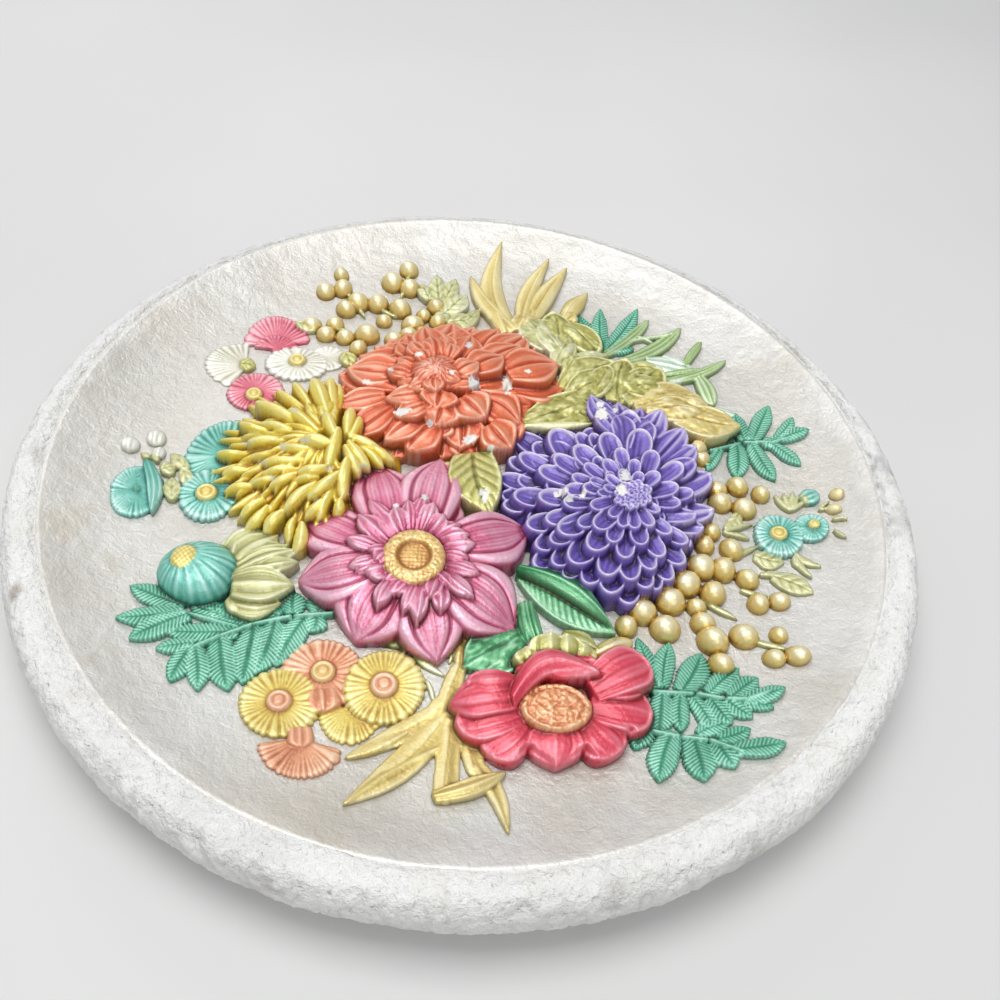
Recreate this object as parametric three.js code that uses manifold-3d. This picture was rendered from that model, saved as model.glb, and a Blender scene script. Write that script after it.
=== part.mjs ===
// Decorative wall plaque: one cast plaster body, a shallow round dish with a broad rolled rim and a
// bouquet of flowers, leaves and berries standing up from its floor in high relief.
//
// Row frame, millimetres: the flat back lies on the wall plane Y = 0 with the origin at its centre,
// the front faces -Y, +X is to the right and +Z is up the wall.
// The body is drawn in a drafting frame (x right, y up the wall, h out from the wall) and the finished
// mesh is turned upright by its own rotation.
//
// The relief was cast in a mould that pulls straight off the front, so it has no undercut: every petal,
// leaf and berry is a column that runs from the plaster of the dish up to its own carved top.
import * as THREE from 'three';
import { mergeVertices } from 'three/addons/utils/BufferGeometryUtils.js';
import Module from 'manifold-3d';

const wasm = await Module();
wasm.setup();

// ---------------------------------------------------------------- driving dimensions
const OUTER_R = 190;        // widest radius of the rolled rim
const BACK_R = 164;         // radius of the flat back that meets the wall
const WIDEST_H = 21;        // height above the wall of the widest circle
const RIM_TOP_R = 180;      // crest of the rolled rim
const RIM_TOP_H = 32.5;     // height of that crest above the wall
const LIP_R = 171.5;        // inner foot of the rolled rim
const LIP_H = 28.5;
const BOWL_R = 140;         // where the bowl starts to climb to the rim
const FLOOR_H = 14;         // height of the dish's floor above the wall
const FLAT_R = 122;         // the floor is flat out to here
const SIDES = 54;           // facets round the dish
const LUMP = 0.7;           // unevenness of the hand-finished rim
const ROOT_H = 9;           // the relief's columns start at this height, inside the floor

const ORANGE = { x: -12, y: 47, rx: 51, ry: 43, bud: [-20, 47.5, 12, 35] };
const PURPLE = { x: 56, y: -8, rx: 46, ry: 52, eye: [60, -16, 36] };
const PINK = { x: -22.5, y: -50, r: 46, disc: 12.4, discH: 29 };
const YELLOW = { x: -52, y: -2, r: 60, h: 33 };
const RED = { x: 31.5, y: -111, disc: [12.8, 10.6], discH: 25 };

// ---------------------------------------------------------------- closed solids
const lerp = (a, b, t) => a + (b - a) * t;

function solidOf(points, faces) {
  const g = new THREE.BufferGeometry();
  g.setAttribute('position', new THREE.Float32BufferAttribute(points.flat(), 3));
  g.setIndex(faces.flat());
  return solidOfGeometry(g);
}

function solidOfGeometry(g) {
  for (const name of Object.keys(g.attributes)) if (name !== 'position') g.deleteAttribute(name);
  const m = mergeVertices(g, 1e-4);
  const src = m.index.array, keep = [];
  for (let i = 0; i < src.length; i += 3) {
    const [a, b, c] = [src[i], src[i + 1], src[i + 2]];
    if (a !== b && b !== c && a !== c) keep.push(a, b, c);
  }
  const solid = new wasm.Manifold(new wasm.Mesh({
    numProp: 3,
    vertProperties: new Float32Array(m.attributes.position.array),
    triVerts: new Uint32Array(keep),
  }));
  return solid;
}

// A column whose top is a grid of rows of [x, y, h] points, with straight sides down to ROOT_H.
// Each row runs from the left edge to the right edge, and the rows follow the petal outward.
function column(rows, root = ROOT_H) {
  const n = rows.length, m = rows[0].length, pts = [], faces = [];
  for (const row of rows) for (const p of row) pts.push([...p]);
  for (const row of rows) for (const p of row) pts.push([p[0], p[1], root]);
  const top = (i, j) => i * m + j, bot = (i, j) => n * m + i * m + j;
  const quad = (a, b, c, d) => faces.push([a, b, c], [a, c, d]);
  for (let i = 0; i < n - 1; i++) for (let j = 0; j < m - 1; j++) {
    quad(top(i, j), top(i, j + 1), top(i + 1, j + 1), top(i + 1, j));
    quad(bot(i, j), bot(i + 1, j), bot(i + 1, j + 1), bot(i, j + 1));
  }
  for (let i = 0; i < n - 1; i++) {
    quad(top(i, 0), top(i + 1, 0), bot(i + 1, 0), bot(i, 0));
    quad(top(i + 1, m - 1), top(i, m - 1), bot(i, m - 1), bot(i + 1, m - 1));
  }
  for (let j = 0; j < m - 1; j++) {
    quad(top(0, j + 1), top(0, j), bot(0, j), bot(0, j + 1));
    quad(top(n - 1, j), top(n - 1, j + 1), bot(n - 1, j + 1), bot(n - 1, j));
  }
  return solidOf(pts, faces);
}

// One petal, leaf or blade. It runs from base to tip, `w` wide, from height hb to ht; `crown` lifts its
// middle, `keel` lifts (or with a minus sign sinks) its centre line against its edges, `bend` bows it
// sideways, and `belly` says how far along it is widest.
function petal({ base, tip, w, hb, ht, crown = 1.5, keel = 0.8, bend = 0, belly = 0.6, root = 0.35, tipW = 0, n = 4 }) {
  const dx = tip[0] - base[0], dy = tip[1] - base[1], len = Math.hypot(dx, dy);
  const ax = dx / len, ay = dy / len, rows = [];
  for (let i = 0; i <= n; i++) {
    const s = i / n;
    const rise = s < belly ? lerp(root, 1, Math.sin((s / belly) * Math.PI / 2))
      : lerp(tipW, 1, Math.cos(((s - belly) / (1 - belly)) * Math.PI / 2));
    const half = 0.5 * w * rise, off = bend * Math.sin(Math.PI * s);
    const cx = base[0] + dx * s - ay * off, cy = base[1] + dy * s + ax * off;
    const hc = lerp(hb, ht, s) + crown * Math.sin(Math.PI * s);
    rows.push([-1, 0, 1].map((t) => [cx + ay * half * t, cy - ax * half * t, hc + (t === 0 ? keel : 0)]));
  }
  return column(rows);
}

// A round boss: rings of [radius fraction, height] from the rim to the crown.
function boss(x, y, rx, ry, rings, sides, wave = 0, peak = 0.06 * rx) {
  const pts = [], faces = [], levels = [[rings[0][0], ROOT_H], ...rings];
  for (const [f, h] of levels) for (let k = 0; k < sides; k++) {
    const a = (2 * Math.PI * k) / sides, s = f * (1 - (k % 2 ? wave : 0));
    pts.push([x + rx * s * Math.cos(a), y + ry * s * Math.sin(a), h]);
  }
  const L = levels.length;
  for (let i = 0; i < L - 1; i++) for (let k = 0; k < sides; k++) {
    const k2 = (k + 1) % sides, a = i * sides + k, b = i * sides + k2, c = (i + 1) * sides + k2, d = (i + 1) * sides + k;
    faces.push([a, b, c], [a, c, d]);
  }
  const bottom = pts.push([x, y, ROOT_H]) - 1, crown = pts.push([x, y, rings[rings.length - 1][1] + peak]) - 1;
  for (let k = 0; k < sides; k++) {
    const k2 = (k + 1) % sides;
    faces.push([bottom, k2, k], [crown, (L - 1) * sides + k, (L - 1) * sides + k2]);
  }
  return solidOf(pts, faces);
}

const berry = (x, y, r) => boss(x, y, r, r, r > 5.2
  ? [[1, FLOOR_H + 0.55 * r], [0.68, FLOOR_H + 1.25 * r]] : [[0.97, FLOOR_H + 0.9 * r]], 6, 0, 0.5 * r);

// A ring of petals round an elliptical flower.
function ring(f, { from, to, count, w, hb, ht, turn = 0, shiftX = 0, shiftY = 0, ...more }) {
  const out = [];
  for (let k = 0; k < count; k++) {
    const a = turn + (2 * Math.PI * k) / count, ca = Math.cos(a), sa = Math.sin(a);
    out.push(petal({
      base: [f.x + shiftX + f.rx * from * ca, f.y + shiftY + f.ry * from * sa],
      tip: [f.x + shiftX + f.rx * to * ca, f.y + shiftY + f.ry * to * sa], w, hb, ht, ...more,
    }));
  }
  return out;
}

// ---------------------------------------------------------------- the dish
function dish() {
  const section = [
    [0, 0], [BACK_R, 0], [lerp(BACK_R, OUTER_R, 0.6), 6.5], [OUTER_R, WIDEST_H],
    [OUTER_R - 1.2, WIDEST_H + 6], [RIM_TOP_R + 3.5, RIM_TOP_H - 0.8], [RIM_TOP_R - 3, RIM_TOP_H - 0.5],
    [LIP_R, LIP_H], [lerp(BOWL_R, LIP_R, 0.5), lerp(FLOOR_H, LIP_H, 0.4)],
    [BOWL_R, FLOOR_H + 1.4], [FLAT_R, FLOOR_H], [0, FLOOR_H],
  ];
  const g = new THREE.LatheGeometry(section.map(([r, h]) => new THREE.Vector2(r, h)), SIDES);
  g.rotateX(Math.PI / 2);
  const p = g.attributes.position;
  for (let i = 0; i < p.count; i++) {
    const x = p.getX(i), y = p.getY(i), h = p.getZ(i), r = Math.hypot(x, y);
    if (r > LIP_R - 1 && h > 3) {
      const a = Math.atan2(y, x);
      const d = LUMP * (Math.sin(5 * a + 1) * 0.5 + Math.sin(11 * a + h * 0.3) * 0.5 + Math.sin(17 * a - h * 0.2) * 0.5) * Math.min(1, (OUTER_R - r) / 4 + 0.35);
      p.setXYZ(i, x * (1 + d / r), y * (1 + d / r), h + 0.5 * d);
    }
  }
  return solidOfGeometry(g);
}

// ---------------------------------------------------------------- the bouquet
const F = FLOOR_H;
const parts = [dish()];
const add = (...s) => parts.push(...s.flat());

// orange dahlia: three rings of pointed petals round a round bud
add(boss(ORANGE.x, ORANGE.y, 40, 33, [[1, F + 4.5], [0.5, F + 14]], 12));
add(ring(ORANGE, { from: 0.42, to: 1.0, count: 10, w: 29, n: 3, root: 0, hb: F + 5, ht: F + 5, crown: 2.2, keel: 1.2, turn: 0.15 }));
add(ring(ORANGE, { from: 0.3, to: 0.75, count: 7, w: 27, n: 2, root: 0, hb: F + 9, ht: F + 9.5, crown: 2.4, keel: 1.1, turn: 0.4, shiftX: -1 }));
add(ring(ORANGE, { from: 0.16, to: 0.5, count: 5, w: 23, n: 2, root: 0, hb: F + 13, ht: F + 13.5, crown: 2.6, keel: 1.0, turn: 0.1, shiftX: -4 }));
add(boss(ORANGE.bud[0], ORANGE.bud[1], ORANGE.bud[2], ORANGE.bud[2] * 0.9, [[1, ORANGE.bud[3] - 6], [0.75, ORANGE.bud[3] - 1.8], [0.4, ORANGE.bud[3]]], 10));

// purple dahlia: a domed head of cupped round petals in rings, with a tight button in the middle
const button = { x: PURPLE.eye[0], y: PURPLE.eye[1] };
add(boss(PURPLE.x, PURPLE.y, 40, 45, [[1, F + 5], [0.55, F + 15]], 14));
for (const [reach, count, w, h, turn] of [[1, 11, 24, 5, 0], [0.76, 8, 24, 11, 0.2], [0.5, 6, 18, 16.5, 0.05]]) {
  for (let k = 0; k < count; k++) {
    const a = turn + (2 * Math.PI * k) / count, ca = Math.cos(a), sa = Math.sin(a), mix = 1 - reach;
    const cx = lerp(PURPLE.x, button.x, mix), cy = lerp(PURPLE.y, button.y, mix);
    add(petal({
      base: [cx + PURPLE.rx * (reach - 0.3) * ca, cy + PURPLE.ry * (reach - 0.3) * sa],
      tip: [cx + PURPLE.rx * reach * ca, cy + PURPLE.ry * reach * sa],
      w, hb: F + h - 0.5, ht: F + h + 1, crown: 0.4, keel: -1.2, belly: 0.6, tipW: 0.42, n: 2,
    }));
  }
}
for (const [r, h, sides, wave] of [[14, 19.6, 9, 0.12], [7, 21.3, 7, 0.12]])
  add(boss(button.x, button.y, r, r * 1.05, [[1, F + h - 1.5], [0.82, F + h]], sides, wave));

// pink dahlia: eight broad petals in two layers, a ruff of small ones and a ringed disc
for (let k = 0; k < 8; k++) {
  const a = -1.83 + (k * Math.PI) / 4 + (k % 2 ? 0.05 : -0.03), under = k % 2;
  add(petal({
    base: [PINK.x + 8 * Math.cos(a), PINK.y + 8 * Math.sin(a)],
    tip: [PINK.x + PINK.r * Math.cos(a), PINK.y + (PINK.r + 1) * Math.sin(a)],
    w: 33, hb: F + 9 - under, ht: F + 4.5 - 1.2 * under, crown: 4.2 - 0.6 * under, keel: 1.1, belly: 0.6, n: 3,
  }));
}
for (let k = 0; k < 10; k++) {
  const a = (k * 2 * Math.PI) / 10 + 0.1 * Math.sin(3 * k), far = 20.5 + 3 * Math.sin(k * 2.4);
  add(petal({
    base: [PINK.x + 9 * Math.cos(a), PINK.y + 9 * Math.sin(a)],
    tip: [PINK.x + far * Math.cos(a), PINK.y + far * Math.sin(a)],
    w: 9, hb: F + 12, ht: F + 12.5, crown: 1.6, keel: 0.7, root: 0, n: 2,
  }));
}
add(boss(PINK.x, PINK.y, PINK.disc, PINK.disc, [[1, PINK.discH - 1.2], [0.85, PINK.discH], [0.5, PINK.discH - 2]], 12));

// yellow flower: long quilled petals that fall away from a crown at its right side
add(boss(-62, 0, 34, 38, [[1, F + 3], [0.5, F + 13.5]], 12));
for (const [reach, count, w, h, turn] of [[1, 11, 13.5, 5, 0], [0.76, 8, 14, 10.5, 0.1], [0.52, 5, 13.5, 16, 0.03]]) {
  for (let k = 0; k < count; k++) {
    const a = lerp(0.62, 1.62, (k + 0.5) / count + turn / 6) * Math.PI, far = YELLOW.r * reach * (0.86 + 0.12 * Math.sin(a + 2.2));
    add(petal({
      base: [YELLOW.x + 0.3 * far * Math.cos(a), YELLOW.y + 0.3 * far * Math.sin(a)],
      tip: [YELLOW.x + far * Math.cos(a), YELLOW.y + 0.86 * far * Math.sin(a)],
      w, hb: F + h + 2, ht: F + h - 1.5, crown: 1.6, keel: 1.3, belly: 0.5, root: 0, n: 2,
    }));
  }
}
for (const [tx, ty] of [[-33, -1], [-40, 12], [-46, -16]])
  add(petal({ base: [YELLOW.x - 4, YELLOW.y], tip: [tx, ty], w: 8, hb: YELLOW.h - 1, ht: F + 12, crown: 1.5, keel: 1.2 }));

// red flower: eight petals round an oval disc, the back one curled over
for (const [tx, ty, w, ht, crown] of [
  [68, -92, 26, 6, 4], [66, -110, 22, 5, 2.5], [51, -127, 21, 4.5, 2], [30, -134, 24, 4, 2], [12, -129, 19, 4, 2],
  [-5, -117, 21, 4.5, 2], [-6, -107, 20, 6, 3], [13, -97, 22, 8, 3], [40, -93, 26, 8, 3]])
  add(petal({ base: [RED.x + (tx - RED.x) * 0.15, RED.y + (ty - RED.y) * 0.15], tip: [tx, ty], w, hb: F + 7, ht: F + ht, crown, keel: 1, n: 4 }));
add(boss(RED.x, RED.y, ...RED.disc, [[1, RED.discH - 1.2], [0.8, RED.discH]], 12));

// daisies and fans on the floor: scalloped heads with a small raised eye
for (const [x, y, rx, ry, h, n, eye] of [
  [-67, -109, 15, 15.5, 5.5, 14, 4.8], [-30.5, -100, 15, 16, 6, 14, 5], [-53, -95, 16, 15.5, 4, 12, 4.6], [-41, -117, 12, 8, 3.2, 10, 0],
  [-56, -131, 15.4, 7.5, 3.4, 10, 0], [-109, -15, 13.2, 14.5, 4.5, 12, 4.4], [-113.5, 12, 12, 14, 3.6, 10, 0], [-138, -15, 11.5, 15.5, 4, 14, 0],
  [-98, 86, 14.4, 10.5, 3.8, 10, 0], [-99.5, 45, 13.6, 12, 3.6, 10, 0], [-117.5, 60, 10.2, 13, 2.4, 10, 0], [-83.5, 67, 15.5, 11.5, 3.4, 10, 4.2],
  [130.5, -21, 10.4, 11.6, 4.2, 10, 4], [146, -16.5, 8.4, 9, 3.6, 10, 3], [151, 1.5, 4.9, 5.4, 2.6, 8, 0]]) {
  add(boss(x, y, rx, ry, eye ? [[1, F + h - 1], [eye / rx, F + h]] : [[1, F + h - 1]], n, 0.07, eye ? 1.4 : 1));
}

// teal bud with its eye, and the sepals that hold it
add(boss(-105, -55, 14.5, 13.5, [[1, F + 3.5], [0.86, F + 8], [0.5, F + 10.5]], 14));
add(boss(-111, -51, 5, 5.6, [[1, F + 10.8], [0.6, F + 11.6]], 8));
for (const [tx, ty] of [[-97, -38], [-80, -35], [-68, -45], [-66, -60], [-80, -72]])
  add(petal({ base: [-90, -56], tip: [tx, ty], w: 12, hb: F + 3, ht: F + 3.5, crown: 1.5, keel: 0.8, n: 3 }));

// broad leaves, each a petal with its own rise
for (const [bx, by, tx, ty, w, h, bend] of [
  [18, -45, 57, -76, 24, 6, 5], [24, -72, -2, -92, 22, 3, -3], [2, 8, 8, -24, 26, 7, 0], [26, -70, 27, -90, 5, 4, 0],
  [30, -76, 31, -98, 24, 10, 0],
  [24, 92, 34, 40, 26, 5, 4], [44, 98, 40, 56, 24, 6, -3], [62, 84, 58, 52, 22, 6, 2], [64, 82, 92, 58, 24, 6, 3], [80, 84, 112, 62, 20, 5, 3],
  [88, 66, 123, 40, 18, 6, 4], [24, 104, 52, 92, 20, 4, 0], [-22, 98, -12, 128, 12, 3, 0], [-12, 104, 2, 130, 10, 3, 2],
  [-60, 80, -52, 100, 12, 2.5, 0], [-114, 0, -126, -6, 10, 2.6, 0], [-118, -8, -126, -22, 10, 2.6, 0], [118, -38, 142, -52, 13, 3, 3], [116, -30, 126, -40, 10, 3, 0],
  [-70, 88, -58, 76, 10, 3, 0]])
  add(petal({ base: [bx, by], tip: [tx, ty], w, hb: F + h, ht: F + h * 0.55, crown: 1.4, keel: 0.9, bend, belly: 0.5, root: 0, n: w > 15 ? 3 : 2 }));

// blades of grass: long thin petals with a bow
for (const [bx, by, tx, ty, w, bend, h] of [
  [18, 96, 14, 170, 9, 4, 4], [24, 98, 38, 158, 8, 3, 4], [28, 98, 49, 152, 7, 5, 3.5], [32, 98, 58, 132, 7, 4, 3.5], [14, 98, -3, 140, 8, -4, 4],
  [62, 96, 88, 114, 5, 2, 3], [70, 90, 104, 109, 5, 3, 3], [78, 84, 114, 101, 5, 3, 3], [84, 78, 124, 88, 5, 3, 3],
  [-6, -104, -43, -132, 8, 3, 3], [-6, -106, -42, -149, 9, 6, 3.4], [-4, -104, -6, -146, 10, 3, 3.2], [-10, -146, 14, -134.5, 9, 0, 3.6], [0, -100, 14.5, -157, 8, -6, 3],
  [-2, -72, -12, -112, 10, 3, 3.2], [112, -10, 118, 14, 3, 0, 2], [122, -2, 150, 2, 3, 0, 2], [118, -34, 104, -26, 3, 0, 2]])
  add(petal({ base: [bx, by], tip: [tx, ty], w, hb: F + h, ht: F + 1.2, crown: 0.8, keel: 0.7, bend, belly: 0.5, root: 0, n: Math.abs(bend) > 3 ? 3 : 2 }));

// ferns: a stem with paired leaflets that shorten towards its tip, cast as one jagged frond
function fern(x0, y0, x1, y1, pairs, reach, lean, h = 2.4) {
  const dx = x1 - x0, dy = y1 - y0, len = Math.hypot(dx, dy), ax = dx / len, ay = dy / len, rows = [];
  const row = (s, far, fwd) => [-1, 0, 1].map((side) => [
    x0 + dx * s + (side ? far * (side * ay + fwd * ax) : 0), y0 + dy * s + (side ? far * (-side * ax + fwd * ay) : 0),
    side ? F + 0.8 : F + h * (1 - 0.4 * s)]);
  for (let i = 0; i < pairs; i++) {
    const s = i / pairs, far = reach * (1 - 0.55 * s) * (0.88 + 0.12 * Math.sin(i * 2));
    rows.push(row(s, 0.16 * reach, 0.1), row(s + 0.35 / pairs, far, lean));
  }
  rows.push(row(0.97, 0.12 * reach, 0), row(1, 0, 0));
  add(column(rows));
}
fern(-55, -74, -112, -93, 5, 21, 0.6);
fern(-72, -70, -130, -68, 4, 15, 0.6);
fern(66, -96, 119, -97, 5, 17, 0.6);
fern(60, -108, 117, -119, 5, 18, 0.5);
fern(106, 15, 157, 43, 5, 17, 0.5);
fern(60, 92, 72, 122, 2, 16, 0.4);

// berries: right-hand spray, then top-left spray, each [x, y, radius]
for (const [x, y, r] of [
  [107, 1, 4.4], [108, -6, 5], [117, 4, 4.7], [127, 0, 4.3], [103, 19, 3.6], [101, 26, 3.6], [98, -30, 4.5], [109, -32, 5],
  [104, -42, 5.3], [88, -50, 5.7], [98, -55, 5.6], [113, -47, 4.8], [80, -59, 5.8], [68, -65, 5.5], [77, -72, 5.6],
  [95, -77, 6.2], [96.5, -87.5, 4.9], [107.5, -74, 5.4], [121.5, -73, 4], [118, -84, 4.3], [127.5, -82, 4.6], [116, -58.5, 4.7], [125, -57, 4], [162, 2.4, 3],
  [-70, 133, 3.3], [-76, 119, 4.3], [-68, 122.5, 4.8], [-59.5, 112, 5.5], [-49.5, 112, 5], [-80, 92.5, 4.2], [-69, 94, 4], 
  [-63, 85.5, 4.2], [-53, 88, 5.8], [-43, 130, 5.3], [-35.5, 141, 4.4], [-34.5, 126, 4.9], [-38.5, 110, 5.6], [-31, 98, 5.1], [-20.5, 112.5, 4.5]])
  add(berry(x, y, r));

// ---------------------------------------------------------------- one casting
// The columns are joined pairwise, so that the whole plaque comes out as a single closed body.
let pool = parts;
while (pool.length > 1) {
  const next = [];
  for (let i = 0; i < pool.length; i += 2) next.push(i + 1 < pool.length ? pool[i].add(pool[i + 1]) : pool[i]);
  pool = next;
}
const whole = pool[0].getMesh();
const geometry = new THREE.BufferGeometry();
const vertices = new Float32Array(whole.numVert * 3);
for (let i = 0; i < whole.numVert; i++) for (let k = 0; k < 3; k++) vertices[3 * i + k] = whole.vertProperties[whole.numProp * i + k];
geometry.setAttribute('position', new THREE.BufferAttribute(vertices, 3));
geometry.setIndex(Array.from(whole.triVerts));
geometry.computeVertexNormals();

const plaster = new THREE.MeshStandardMaterial({ color: 0xe3dccd, roughness: 0.5, metalness: 0.0 });
const plaque = new THREE.Mesh(geometry, plaster);
plaque.name = 'plaque';
plaque.rotation.x = Math.PI / 2;

const group = new THREE.Group();
group.add(plaque);
export default group;
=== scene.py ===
# A round cast-plaster wall plaque: a cream dish with a broad chalky rim and a pearly painted bouquet in high relief.
# Row frame in metres: the back lies on the wall plane Y = 0, the front faces -Y, +X right, +Z up the wall.
# The relief is worked out in millimetres as one height map h(x, z) over the wall plane, the way a one-piece mould
# without undercuts gives it, and is then cut into one mesh per flower or leaf group.
import math
import bpy
import numpy as np
from mathutils import Matrix, Vector


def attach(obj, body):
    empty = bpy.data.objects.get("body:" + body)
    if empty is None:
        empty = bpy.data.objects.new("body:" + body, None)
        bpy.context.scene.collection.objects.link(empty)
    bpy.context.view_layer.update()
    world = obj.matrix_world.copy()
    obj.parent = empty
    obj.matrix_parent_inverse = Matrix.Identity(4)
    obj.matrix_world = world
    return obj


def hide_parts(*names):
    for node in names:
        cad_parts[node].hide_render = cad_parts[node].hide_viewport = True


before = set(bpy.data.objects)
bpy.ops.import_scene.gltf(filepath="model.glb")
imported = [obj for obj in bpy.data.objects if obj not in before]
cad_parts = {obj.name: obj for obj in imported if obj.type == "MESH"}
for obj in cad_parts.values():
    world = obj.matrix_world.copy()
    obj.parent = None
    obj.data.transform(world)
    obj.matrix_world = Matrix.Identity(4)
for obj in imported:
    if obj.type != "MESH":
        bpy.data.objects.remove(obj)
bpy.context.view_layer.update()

rng = np.random.default_rng(4830)

# ------------------------------------------------------------------ camera: the photograph's viewing angle
CAM = np.array([-16.24, -339.99, -285.68])                 # mm, in the row frame
RIGHT = np.array([0.99627, -0.08634, 0.0])
UP = np.array([-0.05567, -0.64237, 0.76437])
BACK = np.array([-0.066, -0.76152, -0.64478])
FOCAL = 1000.0                                             # pixels, for an image of 1000 x 1000

cam_data = bpy.data.cameras.new("camera")
cam_data.sensor_width = 36.0
cam_data.lens = 36.0 * FOCAL / 1000.0
cam = bpy.data.objects.new("camera", cam_data)
bpy.context.scene.collection.objects.link(cam)
cam.matrix_world = Matrix(((RIGHT[0], UP[0], BACK[0], CAM[0] / 1000), (RIGHT[1], UP[1], BACK[1], CAM[1] / 1000),
                           (RIGHT[2], UP[2], BACK[2], CAM[2] / 1000), (0, 0, 0, 1)))
bpy.context.scene.camera = cam


F = 14.0                                                   # height of the dish's flat floor above the wall
LIP_R, LIP_H, BOWL_R = 171.5, 28.5, 112.0


def rise(x, z):
    """How far the dish has curved up at x, z above its flat floor."""
    r = np.hypot(x, z)
    k = np.clip((r - BOWL_R) / (LIP_R - BOWL_R), 0, 1.0)
    t = np.clip(r - LIP_R, 0, 12)
    return (LIP_H - F) * k ** 2.2 + 0.62 * t - 0.022 * t * t


def P(u, v, h, follow=True):
    """The point (x, z) in mm on the plaque that lies behind pixel (u, v), for a thing h above the wall if the dish
    were flat; the relief follows the curve of the dish."""
    d = RIGHT * ((u - 500) / FOCAL) - UP * ((v - 500) / FOCAL) - BACK
    up = 0.0
    for _ in range(5 if follow else 1):
        p = CAM + d * ((-(h + up) - CAM[1]) / d[1])
        up = float(rise(p[0], p[2]))
    return np.array([p[0], p[2]])


def project(x, z, h):
    """Pixel (u, v) of the point x, z, h above the wall."""
    dx, dy, dz = x - CAM[0], -h - CAM[1], z - CAM[2]
    cx = dx * RIGHT[0] + dy * RIGHT[1] + dz * RIGHT[2]
    cy = dx * UP[0] + dy * UP[1] + dz * UP[2]
    cz = -(dx * BACK[0] + dy * BACK[1] + dz * BACK[2])
    return 500 + FOCAL * cx / cz, 500 - FOCAL * cy / cz


# ------------------------------------------------------------------ noise
_table = rng.random(4096).astype(np.float32)


def vnoise(x, y, z, seed=0):
    """Smooth value noise between -1 and 1 with a period of many cells."""
    xi, yi, zi = np.floor(x).astype(np.int64), np.floor(y).astype(np.int64), np.floor(z).astype(np.int64)
    fx, fy, fz = x - xi, y - yi, z - zi
    fx, fy, fz = fx * fx * (3 - 2 * fx), fy * fy * (3 - 2 * fy), fz * fz * (3 - 2 * fz)

    def at(a, b, c):
        return _table[(((xi + a) * 73856093) ^ ((yi + b) * 19349663) ^ ((zi + c) * 83492791) ^ (seed * 2654435)) & 4095]
    out = 0
    for a in (0, 1):
        for b in (0, 1):
            for c in (0, 1):
                out = out + at(a, b, c) * (fx if a else 1 - fx) * (fy if b else 1 - fy) * (fz if c else 1 - fz)
    return out * 2 - 1


def fbm(x, y, z, octaves=3, seed=0):
    out, amp = 0, 1.0
    for k in range(octaves):
        out = out + amp * vnoise(x * 2 ** k + 17.3 * k, y * 2 ** k, z * 2 ** k, seed + k)
        amp *= 0.5
    return out


# ------------------------------------------------------------------ the dish's own surface
def floor_h(x, z):
    return F + rise(x, z) + 0.28 * fbm(x / 19.0, z / 19.0, 0 * x, 2, 5) * np.clip((178 - np.hypot(x, z)) / 12, 0, 1)


# ------------------------------------------------------------------ the relief's height map
CELL = 0.39
X0, X1, Z0, Z1 = -158.0, 171.0, -164.0, 176.0
gx, gz = np.arange(X0, X1, CELL), np.arange(Z0, Z1, CELL)
NX, NZ = len(gx), len(gz)
GX, GZ = np.meshgrid(gx, gz)                               # rows run up the wall
BASE = floor_h(GX, GZ).astype(np.float32)
RISE = rise(GX, GZ).astype(np.float32)
H = BASE.copy()
GID = np.zeros((NZ, NX), np.int16)                         # which mesh a point belongs to
PAL = np.zeros((NZ, NX), np.int16)                         # which paint
# TONE holds each paint's own lighter or deeper tone and also painted highlight and painted shade from the petal shapes
TONE = np.zeros((NZ, NX), np.float32)                      # lighter or deeper than that paint

GROUPS = ["", "orange_dahlia", "purple_dahlia", "pink_dahlia", "yellow_flower", "red_flower", "leaves", "gold_leaves",
          "ferns_left", "ferns_right", "daisies_left", "daisies_low", "daisies_right", "berries_right", "berries_top", "top_leaves"]
G = {name: i for i, name in enumerate(GROUPS)}

# base, light and deep colour of each paint, 0-255; light and deep also serve as painted highlight and painted shade
PAINTS = {
    "orange": ((220, 112, 72), (252, 190, 164), (188, 68, 26)), "purple": ((118, 96, 184), (220, 212, 238), (62, 42, 122)),
    "pink": ((196, 96, 130), (242, 192, 209), (140, 34, 74)), "yellow": ((232, 204, 66), (252, 244, 168), (190, 144, 22)),
    "red": ((214, 66, 87), (247, 160, 172), (156, 20, 40)), "berry": ((226, 200, 122), (252, 244, 210), (190, 148, 62)),
    "sage": ((150, 176, 112), (212, 230, 196), (98, 124, 66)), "mint": ((200, 222, 200), (240, 248, 238), (150, 184, 150)),
    "gold": ((214, 192, 118), (244, 232, 184), (154, 126, 56)), "teal": ((106, 184, 168), (198, 234, 226), (48, 126, 114)),
    "fern": ((58, 152, 118), (176, 230, 212), (18, 96, 72)), "green": ((54, 138, 84), (176, 224, 186), (16, 76, 40)),
    "olive": ((178, 174, 94), (240, 238, 188), (112, 108, 42)), "pale": ((192, 192, 134), (236, 238, 210), (134, 134, 76)),
    "peach": ((218, 150, 112), (248, 206, 178), (172, 96, 58)), "butter": ((214, 188, 92), (248, 238, 170), (166, 128, 38)),
    "white": ((224, 222, 208), (248, 248, 244), (178, 172, 146)), "rose": ((214, 106, 124), (248, 188, 196), (172, 54, 82)),
    "disc": ((218, 174, 104), (246, 220, 168), (168, 114, 52)), "core": ((224, 156, 78), (246, 202, 136), (170, 100, 36)), "crumb": ((216, 144, 98), (240, 196, 156), (176, 96, 52)),
    "bud": ((220, 118, 86), (252, 200, 180), (182, 66, 30)), "lilac": ((128, 108, 190), (226, 220, 242), (66, 46, 128)),
}
PNAMES = list(PAINTS)
PI = {n: i for i, n in enumerate(PNAMES)}


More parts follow.
